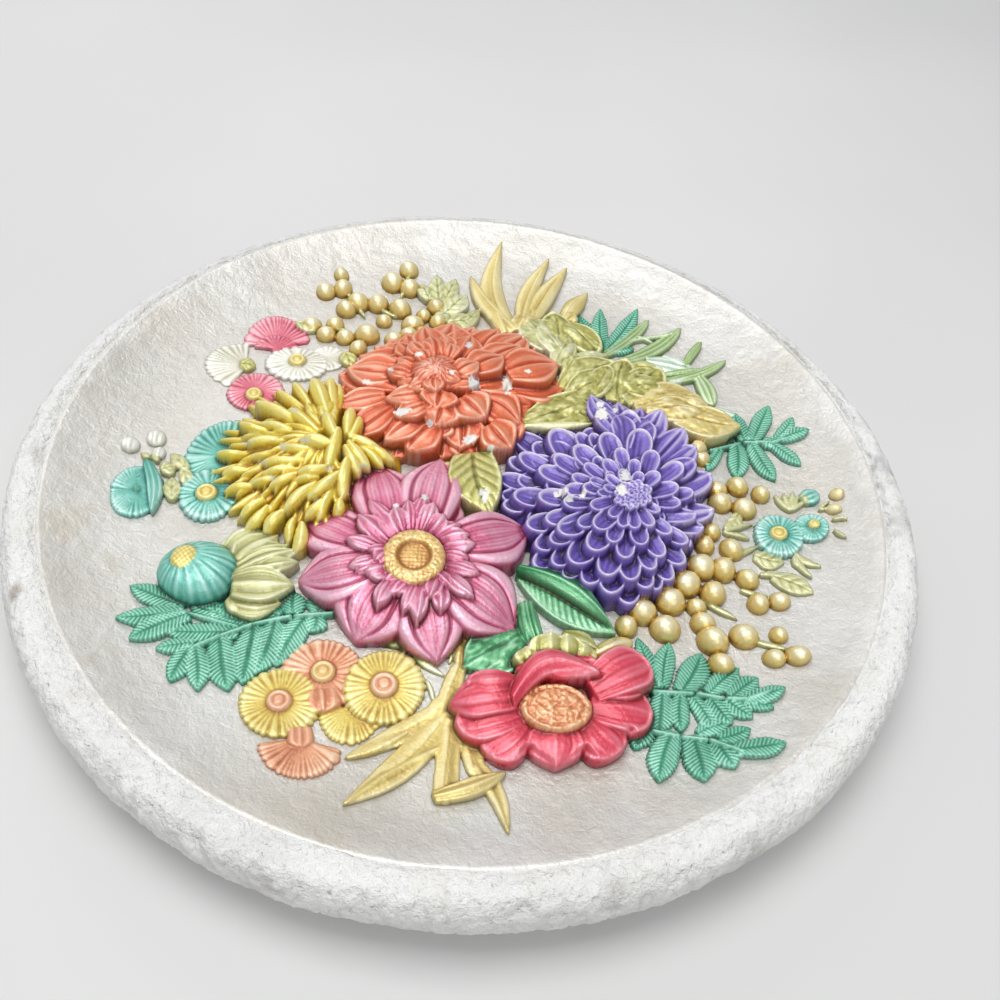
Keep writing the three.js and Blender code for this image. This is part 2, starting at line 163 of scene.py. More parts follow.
def put(box, mask, h, gid, paint, tone):
    j0, j1, i0, i1 = box
    h = h + RISE[j0:j1, i0:i1]
    m = mask & (h > H[j0:j1, i0:i1])
    if not m.any():
        return
    H[j0:j1, i0:i1][m] = h[m]
    GID[j0:j1, i0:i1][m] = G[gid]
    PAL[j0:j1, i0:i1][m] = PI[paint]
    TONE[j0:j1, i0:i1][m] = tone[m] if isinstance(tone, np.ndarray) else tone


def window(xa, xb, za, zb):
    i0, i1 = max(0, int((xa - X0) / CELL) - 1), min(NX, int((xb - X0) / CELL) + 3)
    j0, j1 = max(0, int((za - Z0) / CELL) - 1), min(NZ, int((zb - Z0) / CELL) + 3)
    return j0, j1, i0, i1


def g1(x, s):
    return np.exp(-(x / s) ** 2)


def petal(B, T, w, hb, ht, gid, paint, style="plain", bend=0.0, belly=0.6, root=0.35, crown=1.5, end="point", tone=0.0, **k):
    """One petal, leaf or blade from B to T (x, z in mm), w wide, hb and ht high at its ends."""
    B, T = np.asarray(B, float), np.asarray(T, float)
    L = float(np.hypot(*(T - B)))
    if L < 0.5:
        return
    a = (T - B) / L
    pad = w / 2 + abs(bend) + 0.5
    box = window(min(B[0], T[0]) - pad, max(B[0], T[0]) + pad, min(B[1], T[1]) - pad, max(B[1], T[1]) + pad)
    j0, j1, i0, i1 = box
    if j0 >= j1 or i0 >= i1:
        return
    x, z = GX[j0:j1, i0:i1] - B[0], GZ[j0:j1, i0:i1] - B[1]
    s = (x * a[0] + z * a[1]) / L
    sc = np.clip(s, 0, 1)
    v = (-x * a[1] + z * a[0]) - bend * np.sin(np.pi * sc)
    q = np.clip((sc - belly) / (1 - belly), 0, 1)
    rise = root + (1 - root) * np.sin(np.clip(sc / belly, 0, 1) * np.pi / 2)
    if end == "round":
        fall = np.sqrt(np.clip(1 - q * q, 0, 1))
    elif end == "blunt":
        fall = np.clip(1 - q ** 3, 0, 1) ** 0.7
    elif end == "sharp":
        fall = 1 - q ** 1.55
    else:
        fall = 1 - q ** 1.9
    f = np.where(sc < belly, rise, fall)
    if "ruffle" in k:
        f = f * (1 + k["ruffle"] * np.sin(sc * k.get("waves", 9) * np.pi * 2 + tone * 9))
    half = np.maximum(0.5 * w * f, 1e-3)
    t = v / half
    mask = (s >= 0) & (s <= 1) & (np.abs(t) <= 1)
    if not mask.any():
        return
    t = np.clip(t, -1, 1)
    u = np.abs(t)
    along = np.sin(np.pi * sc)
    if end == "point":
        e = np.maximum(u, q ** 4)
    else:
        e = np.sqrt(np.clip(np.where(sc > belly, q ** 2 + (v / (0.5 * w)) ** 2, u ** 2), 0, 1.2))
    hc = hb + (ht - hb) * sc + crown * along
    n1 = k.get("n1", 0.0)                                   # phase that differs from petal to petal
    # T_ lightens rims, ridges and tips and darkens grooves, creases, bases and the steep edge walls: painted highlight
    # and painted shade, besides each petal's own tone
    T_ = np.zeros_like(sc) + tone
    if style == "boat":                                     # pointed petal with a keel groove and ribs that meet at the tip
        c = k.get("c", 1.6)
        m_ = 0.10 * np.sin(n1 * 1.7)
        dh = c * (1 - u * u) - 0.85 * g1(t - m_, 0.09) * (0.4 + 0.6 * along) + 0.26 * g1(t - m_ - 0.22, 0.11) + 0.26 * g1(t - m_ + 0.22, 0.11) \
            - 0.16 * g1(u - 0.60 - 0.05 * np.sin(n1), 0.06) + 0.05 * np.cos(t * 26 + n1) * (1 - u) + 0.62 * g1(u - 0.83, 0.10) - 1.3 * np.clip((u - 0.93) / 0.07, 0, 1) ** 2
        dh += k.get("cup", 0) * u * u + 0.9 * np.clip((sc - 0.8) / 0.2, 0, 1) ** 2
        T_ += 0.75 * g1(u - 0.86, 0.07) + 0.26 * g1(np.abs(t - m_) - 0.26, 0.14) - 0.55 * g1(t - m_, 0.07) - 0.22 * g1(u - 0.62, 0.08) + 0.12 * np.cos(t * 26 + n1) * (1 - u) - 0.45 * (1 - sc) ** 2 \
            + 0.25 * np.clip((sc - 0.75) / 0.25, 0, 1) - 0.9 * np.clip((u - 0.92) / 0.05, 0, 1)
    elif style == "panel":                                  # broad petal: ribbed panel inside a smooth rolled margin
        edge = 0.64 - 0.12 * sc
        inner = np.clip((edge - u) / 0.08, 0, 1)
        fan = np.cos((t + 0.12 * np.sin(n1) * sc) / edge * np.pi * 3.0 + 0.6 * np.sin(n1 * 1.3))
        fine = np.cos(t / edge * np.pi * 9 + n1)
        dh = 1.9 * (1 - u * u) + inner * (0.12 * fan + 0.08 * fine) * (1 - 0.6 * sc) - 0.70 * g1(u - edge, 0.045) \
            + 0.6 * g1(u - 0.82, 0.13) - 1.6 * np.clip((u - 0.92) / 0.08, 0, 1) ** 2 + 0.9 * g1(u - edge + 0.02, 0.25) * (1 - sc)
        T_ += inner * (0.10 * fan + 0.20 * fine) * (1 - 0.5 * sc) - 0.6 * g1(u - edge, 0.05) + 0.25 * g1(u - edge - 0.09, 0.05) + 0.35 * g1(u - 0.83, 0.11) \
            - 0.80 * np.clip(1 - sc * 1.9, 0, 1) * (u < edge) + 0.30 * along - 0.8 * np.clip((u - 0.92) / 0.05, 0, 1)
    # the pale rim is partly dry-brushed paint and partly painted highlight
    elif style == "cup":                                    # spoon with a raised pale rim, ribbed hollow, rounded outside
        hollow, lip = k.get("hollow", 1.3), 0.80
        ein = np.clip(e / lip, 0, 1)
        ribs = np.sin(t * 13 + n1 + 0.8 * np.sin(t * 5))
        dh = -hollow * (1 - ein * ein) * (0.55 + 0.45 * sc) + k.get("rim", 0.5) * g1(e - lip, 0.07) - (1.0 + 0.16 * w) * np.clip((e - lip - 0.03) / (0.97 - lip), 0, 1) ** 2.0 \
            + 0.13 * ribs * (1 - ein)
        T_ += 1.45 * g1(e - lip + 0.03, 0.05) * (0.45 + 0.55 * sc) - 0.30 * (1 - ein) ** 0.8 * np.clip(1.2 - sc, 0, 1) + 0.22 * ribs * (1 - ein) ** 0.5 - 0.75 * np.clip((e - 0.87) / 0.06, 0, 1)
    elif style == "finger":                                 # quilled petal: a tapering finger
        r = 0.5 * w * k.get("fat", 0.85)
        off = 0.22 * np.sin(n1)
        dh = r * np.clip(1 - e ** 1.7, 0, 1) ** 0.75 * (0.75 + 0.25 * f) - 0.30 * g1(t - off - 0.34, 0.12) * along - 0.22 * g1(t - off + 0.38, 0.12) * along
        T_ += 0.95 * g1(t - off, 0.22) - 0.45 * g1(t - off - 0.36, 0.12) - 0.35 * g1(t - off + 0.38, 0.12) - 0.7 * u ** 4 + 0.35 * np.clip((sc - 0.78) / 0.22, 0, 1) - 0.35 * np.clip(0.35 - sc, 0, 1)
    elif style == "fold":                                   # smooth soft petal with a few long creases
        dh = k.get("c", 2.2) * (1 - u * u) + 0.3 * k.get("ribs", 1.0) * np.cos(t * np.pi * 2.5 + n1) * (1 - u) + 0.05 * np.cos(t * 24 + n1) * (1 - u) * along - 0.5 * g1(u - 0.55, 0.06) * k.get("crease", 1) \
            + 0.55 * g1(e - 0.9, 0.08) - 1.3 * np.clip((e - 0.95) / 0.05, 0, 1) ** 2 + k.get("cup", 0) * u * u
        T_ += 0.3 * k.get("ribs", 1.0) * np.cos(t * np.pi * 2.5 + n1) * (1 - u) + 0.16 * np.cos(t * 24 + n1) * (1 - u) * along - 0.35 * k.get("crease", 1) * g1(u - 0.55, 0.07) + 0.6 * g1(e - 0.89, 0.05) - 0.6 * np.clip(1 - sc * 2, 0, 1) - 0.7 * np.clip((e - 0.94) / 0.04, 0, 1)
    elif style == "leaf":                                   # midrib and slanting veins, edge slightly turned up
        ph = (sc * L - u * 0.5 * w * 0.9) / k.get("vein", 4.2)
        dh = k.get("c", 0.9) * (1 - u * u) - 0.55 * g1(t, 0.07) - 0.22 * np.abs(np.sin(ph * np.pi)) ** 6 * (1 - u ** 4) * 1.4 \
            + 0.3 * g1(e - 0.93, 0.06) - 0.8 * np.clip((e - 0.96) / 0.04, 0, 1) ** 2 + k.get("cup", 0) * u * u + k.get("tilt", 0) * t
        T_ += -0.5 * g1(t, 0.08) - 0.35 * np.abs(np.sin(ph * np.pi)) ** 6 + 0.45 * g1(e - 0.93, 0.06) + 0.12 * np.sin(ph * np.pi * 2)
    elif style == "flat":                                   # thin strip with a soft fold down its middle
        dh = k.get("c", 0.5) * (1 - u ** 3) + 0.16 * np.cos(t * np.pi * 1.4 + n1) * (1 - u * u) - 0.22 * g1(t - 0.1 * np.sin(sc * 5 + n1), 0.05)
        T_ += 0.35 * np.cos(t * np.pi * 1.4 + n1 + sc * 1.5) - 0.45 * g1(t - 0.1 * np.sin(sc * 5 + n1), 0.05) + 0.35 * g1(u - 0.88, 0.05) + 0.12 * np.sin(sc * 9 + n1)
    # the light edge is partly pale paint and partly painted highlight
    elif style == "lobe":                                   # smooth uneven leaf with soft lumps and a light edge
        xx, yy = sc * L / 5.5 + n1, v / 3.2
        lump_ = vnoise(xx, yy, 0 * xx + n1, 17) + 0.5 * vnoise(2.1 * xx, 2.3 * yy, 0 * xx + n1, 18)
        dh = k.get("c", 1.2) * (1 - u * u) + 0.62 * lump_ * (1 - u ** 4) - 0.45 * g1(t - 0.1 * np.sin(sc * 4 + n1), 0.06) * along + 0.4 * g1(e - 0.92, 0.07) \
            - 1.0 * np.clip((e - 0.96) / 0.04, 0, 1) ** 2 + k.get("cup", 0) * u * u
        T_ += k.get("life", 0.30) * lump_ - 0.45 * g1(t - 0.1 * np.sin(sc * 4 + n1), 0.06) + 0.25 * g1(t - 0.1 * np.sin(sc * 4 + n1) - 0.13, 0.06) + 1.15 * g1(e - 0.90, 0.05) - 0.35 * g1(e - 0.78, 0.08) - 0.25 * np.abs(np.sin((sc * L - u * 0.45 * w) / 3.4 * np.pi)) ** 8
    elif style == "frond":                                  # fern leaflet: herringbone ridges
        ph = (sc * L - u * 0.5 * w * 0.6) / k.get("vein", 1.75)
        wave = np.sin(ph * 2 * np.pi)
        mask = mask & (u < 0.88 + 0.12 * wave)
        dh = 0.7 * (1 - u * u) + 0.34 * wave * (1 - g1(t, 0.10)) - 0.35 * g1(t, 0.09) - 0.5 * np.clip((u - 0.85) / 0.15, 0, 1)
        T_ += 0.95 * wave * (1 - g1(t, 0.12)) * np.clip(1.15 - 0.5 * sc, 0, 1) - 0.5 * g1(t, 0.10)
    elif style == "blade":                                  # grass: long grooves
        dh = k.get("c", 0.9) * (1 - u * u) + 0.22 * np.cos(t * np.pi * 3 + n1) * (1 - u * u) - 0.3 * g1(t - 0.15, 0.08)
        T_ += 0.35 * np.cos(t * np.pi * 3 + n1) - 0.35 * g1(t - 0.15, 0.09) - 0.3 * u ** 4
    else:
        dh = k.get("c", 1.0) * (1 - u * u)
    put(box, mask, (hc + dh).astype(np.float32), gid, paint, T_.astype(np.float32))


def blob(c, rx, rz, h0, top, gid, paint, turn=0.0, power=2.0, tone=0.0, fn=None):
    """A rounded boss: an ellipse of half-sizes rx, rz whose edge is at h0 and crown at top."""
    pad = max(rx, rz) + 0.5
    box = window(c[0] - pad, c[0] + pad, c[1] - pad, c[1] + pad)
    j0, j1, i0, i1 = box
    if j0 >= j1 or i0 >= i1:
        return
    x, z = GX[j0:j1, i0:i1] - c[0], GZ[j0:j1, i0:i1] - c[1]
    ct, st = math.cos(turn), math.sin(turn)
    px, pz = (x * ct + z * st) / rx, (-x * st + z * ct) / rz
    r, a = np.hypot(px, pz), np.arctan2(pz, px)
    mask = r <= 1
    rc = np.clip(r, 0, 1)
    h = h0 + (top - h0) * (1 - rc ** power) ** (1 / power)
    tn = np.zeros_like(h) + tone
    if fn is not None:
        dh, dt, limit = fn(rc, a, px, pz)
        h, tn = h + dh, tn + dt
        if limit is not None:
            mask = mask & limit
    put(box, mask, h.astype(np.float32), gid, paint, tn.astype(np.float32))


def berry(c, r, gid, lift=0.0, paint="berry"):
    base = float(F + lift)
    swing = math.sin(c[0] * 3.1 + c[1])
    # painted highlight: a bright spot just above the middle of each berry, and painted shade round its edge
    blob(c, r * 1.06, r * (1.02 + 0.10 * swing), base - 0.3, base + 1.22 * r, gid, paint, turn=swing * 2, power=2.1, tone=0.12 * swing,
         fn=lambda q, a, px, pz: (0 * q, 0.75 * g1(np.hypot(px, pz - 0.1), 0.42) - 0.75 * q ** 4, None))


def daisy(c, rx, rz, top, gid, paint, n=26, eye=None, eye_paint="disc", eye_at=(0, 0), arc=None, turn=0.0, depth=0.5, thick=2.4, dish=0.8, tone=0.0):
    """A flat-topped flower of many narrow petals; arc leaves only a fan of it."""
    def carve(r, a, px, pz):
        ang = (a - turn + 0.09 * np.sin(3 * a + turn + c[0]) + 0.05 * np.sin(7 * a + c[1])) * n / 2 + 0.35 * vnoise(px * 2.5, pz * 2.5, 0 * px + c[0], 25)
        w = np.abs(np.sin(ang))
        leaf_no = np.floor(ang / np.pi)
        jag = 0.5 + 0.5 * np.sin(leaf_no * 12.9 + c[0])
        limit = r < 0.86 + 0.12 * w ** 0.7 * (0.55 + 0.45 * jag) + 0.02 * jag
        if arc is not None:
            d = np.abs((a - turn + np.pi) % (2 * np.pi) - np.pi)
            limit = limit & ((d < arc) | (r < 0.2))
        on = np.clip(r * 1.8 - 0.2, 0, 1)
        dh = depth * 1.35 * (w ** 0.55 - 1) * on + dish * (r - 0.55) * np.clip(1.6 - r, 0, 1) - 1.1 * np.clip((r - 0.84) / 0.16, 0, 1) ** 2 + 0.35 * (jag - 0.5) * on
        # ridges and the raised ring near the edge lighter, grooves, middle and outer edge wall darker: painted
        # highlight and painted shade; jag gives each petal its own random tone
        dt = 1.35 * (w ** 0.9 - 0.68) * on + 0.28 * np.sin(ang * 6.0 + jag * 6) * on - 0.35 * np.clip(0.5 - r, 0, 1) + 0.3 * g1(r - 0.84, 0.06) + 0.5 * (jag - 0.5) - 0.5 * np.clip((r - 0.93) / 0.05, 0, 1)
        return dh, dt, limit
    blob(c, rx, rz, top - 1.3, top, gid, paint, power=2.3, fn=carve, tone=tone)
    if eye:
        def grains(r, a, px, pz):
            ring = 0.35 * g1(r - 0.78, 0.13) - 0.35 * g1(r - 0.52, 0.1)
            g = 0.14 * np.sin(px * eye * 5.2) * np.sin(pz * eye * 5.2)
            # the raised ring lighter and the sunk ring and grain hollows darker, following the height: painted
            # highlight and painted shade
            return ring + g, 0.5 * g1(r - 0.78, 0.15) - 0.5 * g1(r - 0.52, 0.1) + 2.2 * g, None
        blob((c[0] + eye_at[0], c[1] + eye_at[1]), eye, eye * 1.02, top + 0.2, top + 1.9, gid, eye_paint, fn=grains)


def px_scale(u, v, h=18.0):
    """mm across the plaque for one pixel to the right at that place."""
    return float(np.hypot(*(P(u + 1, v, h) - P(u, v, h))))

# ------------------------------------------------------------------ orange dahlia
def crop(u0, v0, s):
    """Turns a place in an enlarged view of the photograph into a place on the plaque."""
    return lambda x, y, h: P(u0 + x / s, v0 + y / s, h)


C = crop(320, 310, 6.031)
LEVELS = {"A": (F + 8.0, F + 3.3, 1.6), "B": (F + 12.0, F + 8.0, 1.8), "C": (F + 16, F + 13, 2.0), "D": (F + 18.5, F + 17, 1.6), "E": (F + 19.5, F + 19.5, 1.2)}
# a low hub under the petals, painted deep: painted shade in the gaps between the petals
blob((-12, 49), 39, 32, F + 2, F + 10.3, "orange_dahlia", "orange", power=2.2, tone=-0.7)
for k, (tx, ty, bx, by, w, lv) in enumerate([
    # outermost, lowest petals
    (410, 190, 600, 330, 17, "A"), (520, 150, 650, 310, 18, "A"), (330, 235, 560, 330, 18, "A"), (235, 290, 500, 360, 18, "A"),
    (800, 88, 770, 300, 24, "A"), (930, 112, 840, 300, 18, "A"), (1080, 122, 900, 290, 15, "A"), (1252, 158, 1010, 300, 18, "A"),
    (1440, 335, 1120, 380, 23, "B"), (1475, 475, 1160, 470, 22, "A"), (1365, 618, 1100, 540, 22, "A"), (1395, 405, 1180, 420, 16, "A"),
    (1120, 880, 1010, 650, 24, "A"), (965, 950, 905, 720, 22, "A"), (740, 915, 745, 700, 24, "A"), (540, 885, 650, 680, 22, "A"),
    (450, 905, 560, 700, 18, "A"), (370, 860, 520, 660, 15, "A"), (265, 800, 480, 610, 17, "A"), (163, 782, 440, 590, 14, "B"),
    (85, 590, 400, 520, 13, "B"), (100, 500, 400, 480, 18, "A"), (108, 405, 400, 420, 20, "A"), (160, 362, 480, 380, 20, "B"),
    (1300, 250, 1060, 340, 15, "A"), (1330, 560, 1080, 500, 16, "A"),
    # middle petals
    (1215, 225, 960, 340, 15, "B"), (1205, 700, 990, 540, 20, "B"), (1000, 665, 850, 530, 19, "C"), (1160, 850, 1020, 690, 18, "B"),
    (845, 850, 850, 640, 19, "B"), (640, 800, 720, 640, 17, "B"), (520, 865, 690, 700, 18, "B"), (380, 805, 620, 650, 14, "B"),
    (385, 545, 640, 510, 11, "C"), (235, 405, 480, 470, 14, "B"), (395, 290, 560, 350, 13, "B"), (470, 205, 600, 300, 13, "B"),
    (630, 108, 700, 270, 15, "B"), (735, 150, 745, 290, 12, "B"), (910, 165, 835, 310, 15, "B"), (1110, 290, 900, 370, 16, "C"),
    (1140, 410, 900, 440, 22, "B"), (1030, 330, 850, 380, 12, "C"), (300, 350, 520, 400, 14, "B"),
    # inner petals
    (440, 650, 660, 570, 11, "C"), (690, 720, 730, 590, 17, "C"), (455, 440, 640, 450, 10, "C"), (700, 605, 735, 490, 16, "D"), (965, 450, 790, 450, 10, "D"),
    (545, 200, 640, 300, 11, "C"), (660, 170, 700, 290, 11, "C"), (960, 330, 820, 390, 11, "D"), (400, 370, 560, 390, 10, "C"),
    (600, 245, 650, 320, 9, "D"), (790, 210, 770, 300, 9, "C"), (850, 330, 770, 370, 8, "D"), (470, 300, 600, 350, 10, "C"),
    (700, 505, 690, 420, 9, "E"), (850, 440, 740, 390, 8, "E"), (530, 480, 650, 440, 8, "D"), (560, 610, 680, 540, 10, "C")]):
    hb, ht, cr = LEVELS[lv]
    ht += 0.6 * math.sin(k * 2.3)
    petal(C(bx, by, hb), C(tx, ty, ht), w * 1.16, hb, ht, "orange_dahlia", "orange", "boat", bend=0.8 * math.sin(k * 1.7), belly=0.5, root=0.5, end="sharp",
          crown=cr, tone=0.14 * math.sin(k * 3.9), n1=k, c=1.2 + 0.3 * math.sin(k), cup=0.5)


def bud_lines(r, a, px, pz):
    # the furled petals of the bud wrap round it in curved overlapping lines; their grooves are painted darker as
    # painted shade and a spot above and a little left of the middle lighter as a painted highlight
    w = np.abs(np.sin(a * 2.5 + r * 1.9)) ** 0.5
    return 0.75 * (w - 1) * np.clip(r * 2.2, 0, 1), 1.0 * (w - 0.8) + 0.3 * g1(np.hypot(px + 0.1, pz - 0.35), 0.4), None


blob(C(700, 385, F + 16), 12.6, 12.0, F + 15.5, F + 20.2, "orange_dahlia", "bud", power=2.4, fn=bud_lines, tone=-0.2)
for k in range(11):                                        # furled petals that close over the bud
    a = k * 2.4 + 0.5
    rr_ = 11.0 if k < 7 else 6.5
    c0 = C(700, 385, F + 19)
    petal(c0 + rr_ * np.array([math.cos(a), math.sin(a)]), c0 + 2.2 * np.array([math.cos(a + 0.5), math.sin(a + 0.5)]) + np.array([0.0, 0.8]), 8.5 if k < 7 else 6.5, F + 17.0 + 0.15 * k, F + 21.0 + 0.08 * k,
          "orange_dahlia", "bud", "boat", bend=1.2, belly=0.42, root=0.7, end="sharp", crown=1.4, c=1.3, tone=0.12 * math.sin(k * 2.2), n1=k)
for k in range(4):
    a = k * 1.57 + 0.9
    petal(c0 + 4.6 * np.array([math.cos(a), math.sin(a)]), c0 - 1.2 * np.array([math.cos(a), math.sin(a)]) + np.array([0.0, 0.6]), 5.4, F + 20.2, F + 22.0 + 0.2 * k, "orange_dahlia", "bud", "boat", bend=0.6,
          belly=0.4, root=0.75, crown=0.9, c=1.0, tone=0.1, n1=k + 3)

# ------------------------------------------------------------------ purple dahlia
C = crop(480, 385, 6.272)
eye = C(925, 650, F + 20)
mid = np.array([55.5, -9.0])
# a low hub under the petals, painted deep: painted shade in the gaps between the petals
blob(mid, 40, 45, F + 1, F + 9.5, "purple_dahlia", "purple", power=2.2, tone=-0.8)
# tall pointed petals stand behind the head at the top
for tx, ty, bx, by, w, h in [(690, 72, 820, 300, 13, 9), (740, 150, 860, 330, 12, 12), (1135, 235, 960, 340, 17, 10), (1260, 330, 1080, 420, 17, 8), (1005, 160, 960, 330, 17, 8), (860, 120, 900, 300, 14, 8)]:
    petal(C(bx, by, F + h), C(tx, ty, F + h - 2), w, F + h + 1, F + h - 2, "purple_dahlia", "purple", "boat", belly=0.5, crown=1.0, c=1.5)
petal(C(905, 400, F + 14), C(890, 175, F + 12.0), 13, F + 15, F + 12.0, "purple_dahlia", "purple", "cup", belly=0.6, root=0.5, crown=1.0, end="point", hollow=0.6, rim=0.5)
petal(C(1020, 400, F + 13), C(1030, 205, F + 10.5), 13, F + 13.5, F + 10.5, "purple_dahlia", "purple", "cup", belly=0.6, root=0.5, crown=1.0, end="point", hollow=0.6, rim=0.5)
GOLDEN = math.pi * (3 - math.sqrt(5))
COUNT = 104
EYE_UV = (865.0, 630.0)
C = crop(490, 390, 6.087)


def violet(tx, ty, w, reach=1.75, drop=0.0, style="cup", swing=0.0, **kw):
    """One petal of the purple head: its tip in the enlarged view and its width there. It points away from the eye."""
    dx, dy = tx - EYE_UV[0], ty - EYE_UV[1]
    q = math.hypot(dx / (840.0 if dx < 0 else 490.0), dy / (560.0 if dy < 0 else 700.0))
    hd = F + 20.5 - 14.0 * min(q, 1.05) ** 1.9 - drop
    T = C(tx, ty, hd)
    E = C(EYE_UV[0], EYE_UV[1], F + 20)
    d = E - T
    d = d / np.hypot(*d)
    d = np.array([d[0] * math.cos(swing) - d[1] * math.sin(swing), d[0] * math.sin(swing) + d[1] * math.cos(swing)])
    wide = w / 6.087 * 0.405 * 1.22
    length = wide * reach * (0.85 + 0.35 * min(q, 1))
    args = dict(belly=0.62, root=0.42, crown=0.25, end="round", hollow=0.55 + 0.095 * wide, rim=0.35 + 0.03 * wide, tone=0.12 * math.sin(tx * 0.7 + ty), n1=tx)
    args.update(kw)
    petal(T + d * length, T - d * 0.06 * wide, wide, hd - 0.3, hd + 0.8, "purple_dahlia", "purple", style, **args)


for k in range(COUNT, 0, -1):                              # the crowded petals underneath
    q = math.sqrt((k - 0.3) / COUNT)
    a = k * GOLDEN + 0.4
    far = q ** 1.05
    cx, cz = eye[0] + (mid[0] - eye[0]) * far, eye[1] + (mid[1] - eye[1]) * far
    tx, tz = cx + 46.5 * far * math.cos(a), cz + 52.0 * far * math.sin(a)
    size = 3.4 + 10.5 * q ** 1.15
    length = size * (1.35 + 0.6 * q)
    ux, uz = 46.5 * math.cos(a), 52 * math.sin(a)
    n = math.hypot(ux, uz)
    ux, uz = ux / n, uz / n
    hd = F + 20.0 - 14.5 * q ** 2.0 - 2.6 * min(1, q * 2.2)
    petal((tx - ux * length, tz - uz * length), (tx, tz), size, hd - 0.4, hd + 0.9 - 0.6 * q, "purple_dahlia", "purple", "cup",
          belly=0.6, root=0.45, crown=0.3, end="round", hollow=0.5 + 0.8 * min(1, size / 10), rim=0.4,
          tone=0.12 * math.sin(k * 1.3) - 0.1, n1=k, bend=0.06 * size * math.sin(k * 2.1))
# the tall pointed ones at the back and the long ones at the right
violet(620, 48, 125, 2.2, 1.0, "boat", 0.5, tone=-0.3, c=1.2)
violet(690, 130, 100, 2.2, -0.5, "boat", 0.2, c=1.2)
violet(850, 112, 175, 2.0, -2.0, belly=0.5, hollow=0.8)
violet(1035, 150, 165, 2.0, -0.5, "boat", -0.1, c=1.6)
violet(1170, 262, 165, 1.9, -0.3, "boat", -0.1, c=1.6)
violet(1240, 360, 150, 1.9, -0.3, "fold", -0.1, c=1.4)
violet(1238, 440, 150, 1.9, -0.5, "fold", -0.1, c=1.2)
violet(1338, 530, 165, 2.0, 0.0, "fold", 0.0, c=1.4)
violet(1352, 745, 150, 2.3, 0.0, "fold", 0.25, c=1.6, bend=2.0)
violet(1250, 772, 105, 2.0, -0.8, "fold", 0.2, c=1.2)
violet(1295, 855, 110, 2.0, 0.5, "fold", 0.1, c=1.2)
for tx, ty, w, drop, sw in [
    # outermost
    (840, 1322, 150, 0.6, 0), (720, 1255, 160, -0.6, 0), (580, 1192, 130, -0.2, 0), (960, 1222, 130, -0.2, 0.1), (450, 1152, 110, 0.4, 0), (340, 1132, 100, 0.6, 0), (260, 1082, 140, 0, 0), (1100, 1172, 120, 0.3, 0),
    (1020, 1230, 110, 0.8, 0), (270, 966, 135, 0.2, 0), (212, 832, 140, -0.4, 0), (130, 642, 150, -0.4, 0), (48, 530, 135, -0.2, 0), (60, 640, 120, 1.2, 0), (145, 268, 165, -0.4, 0.1), (110, 420, 110, 1.0, 0), (70, 700, 110, 1.2, 0),
    (172, 392, 135, -0.8, 0), (535, 262, 100, 1.0, 0), (620, 265, 90, 0.6, 0),
    # second row
    (378, 1072, 125, -0.4, 0), (488, 1064, 165, -0.9, 0), (696, 1142, 140, -0.9, 0), (852, 1172, 125, -0.9, 0), (1182, 1072, 130, -0.2, 0), (990, 1105, 105, -0.5, 0.1), (362, 932, 120, -0.8, 0), (1207, 942, 110, -0.6, 0),
    (388, 232, 190, -1.4, -0.2), (290, 478, 130, -0.8, 0), (285, 650, 135, -0.8, 0), (385, 402, 125, -0.8, 0), (332, 800, 120, -0.8, 0),
    # third row
    (410, 872, 150, -1.0, 0), (608, 984, 140, -1.0, 0), (816, 1034, 108, -1.0, 0), (1046, 1028, 115, -0.6, 0), (1102, 884, 100, -0.8, 0), (922, 955, 110, -0.8, 0), (518, 336, 145, -0.8, 0), (704, 258, 145, -1.2, 0),
    (924, 238, 165, -1.6, 0), (1168, 448, 120, -1.0, 0), (1148, 584, 110, -1.0, 0), (448, 606, 120, -0.8, 0), (440, 690, 110, -0.4, 0), (535, 832, 95, -0.5, 0), (1240, 620, 100, -0.2, 0), (1165, 690, 100, -0.6, 0),
    # inner
    (640, 852, 120, -0.8, 0), (735, 934, 96, -0.8, 0), (880, 852, 82, -0.6, 0), (986, 838, 86, -0.8, 0), (800, 840, 74, -0.4, 0), (1036, 746, 72, -0.4, 0), (608, 716, 90, -0.4, 0), (494, 524, 88, -0.4, 0), (572, 452, 92, -0.6, 0),
    (698, 422, 88, -0.6, 0), (790, 353, 94, -0.9, 0), (996, 370, 115, -1.0, 0.1), (1026, 503, 92, -0.8, 0), (602, 545, 74, -0.3, 0), (560, 590, 90, -0.3, 0), (884, 424, 80, -0.6, 0), (730, 776, 72, -0.3, 0), (686, 592, 66, -0.2, 0),
    (800, 482, 74, -0.4, 0), (915, 500, 74, -0.5, 0), (705, 520, 68, -0.2, 0), (650, 625, 60, 0, 0), (985, 600, 70, -0.3, 0), (985, 680, 64, -0.2, 0)]:
    violet(tx, ty, w, 1.75, drop, swing=sw)
for k in range(44, 0, -1):                                 # the tight eye
    a, q = k * GOLDEN, math.sqrt(k / 44)
    violet(EYE_UV[0] + 6 + 125 * q * math.cos(a), EYE_UV[1] + 95 * q * math.sin(a) + 8, 34 + 14 * q, 1.3, -0.5 + 0.4 * (1 - q), hollow=0.7, rim=0.3)

# ------------------------------------------------------------------ pink dahlia
C = crop(285, 445, 6.031)
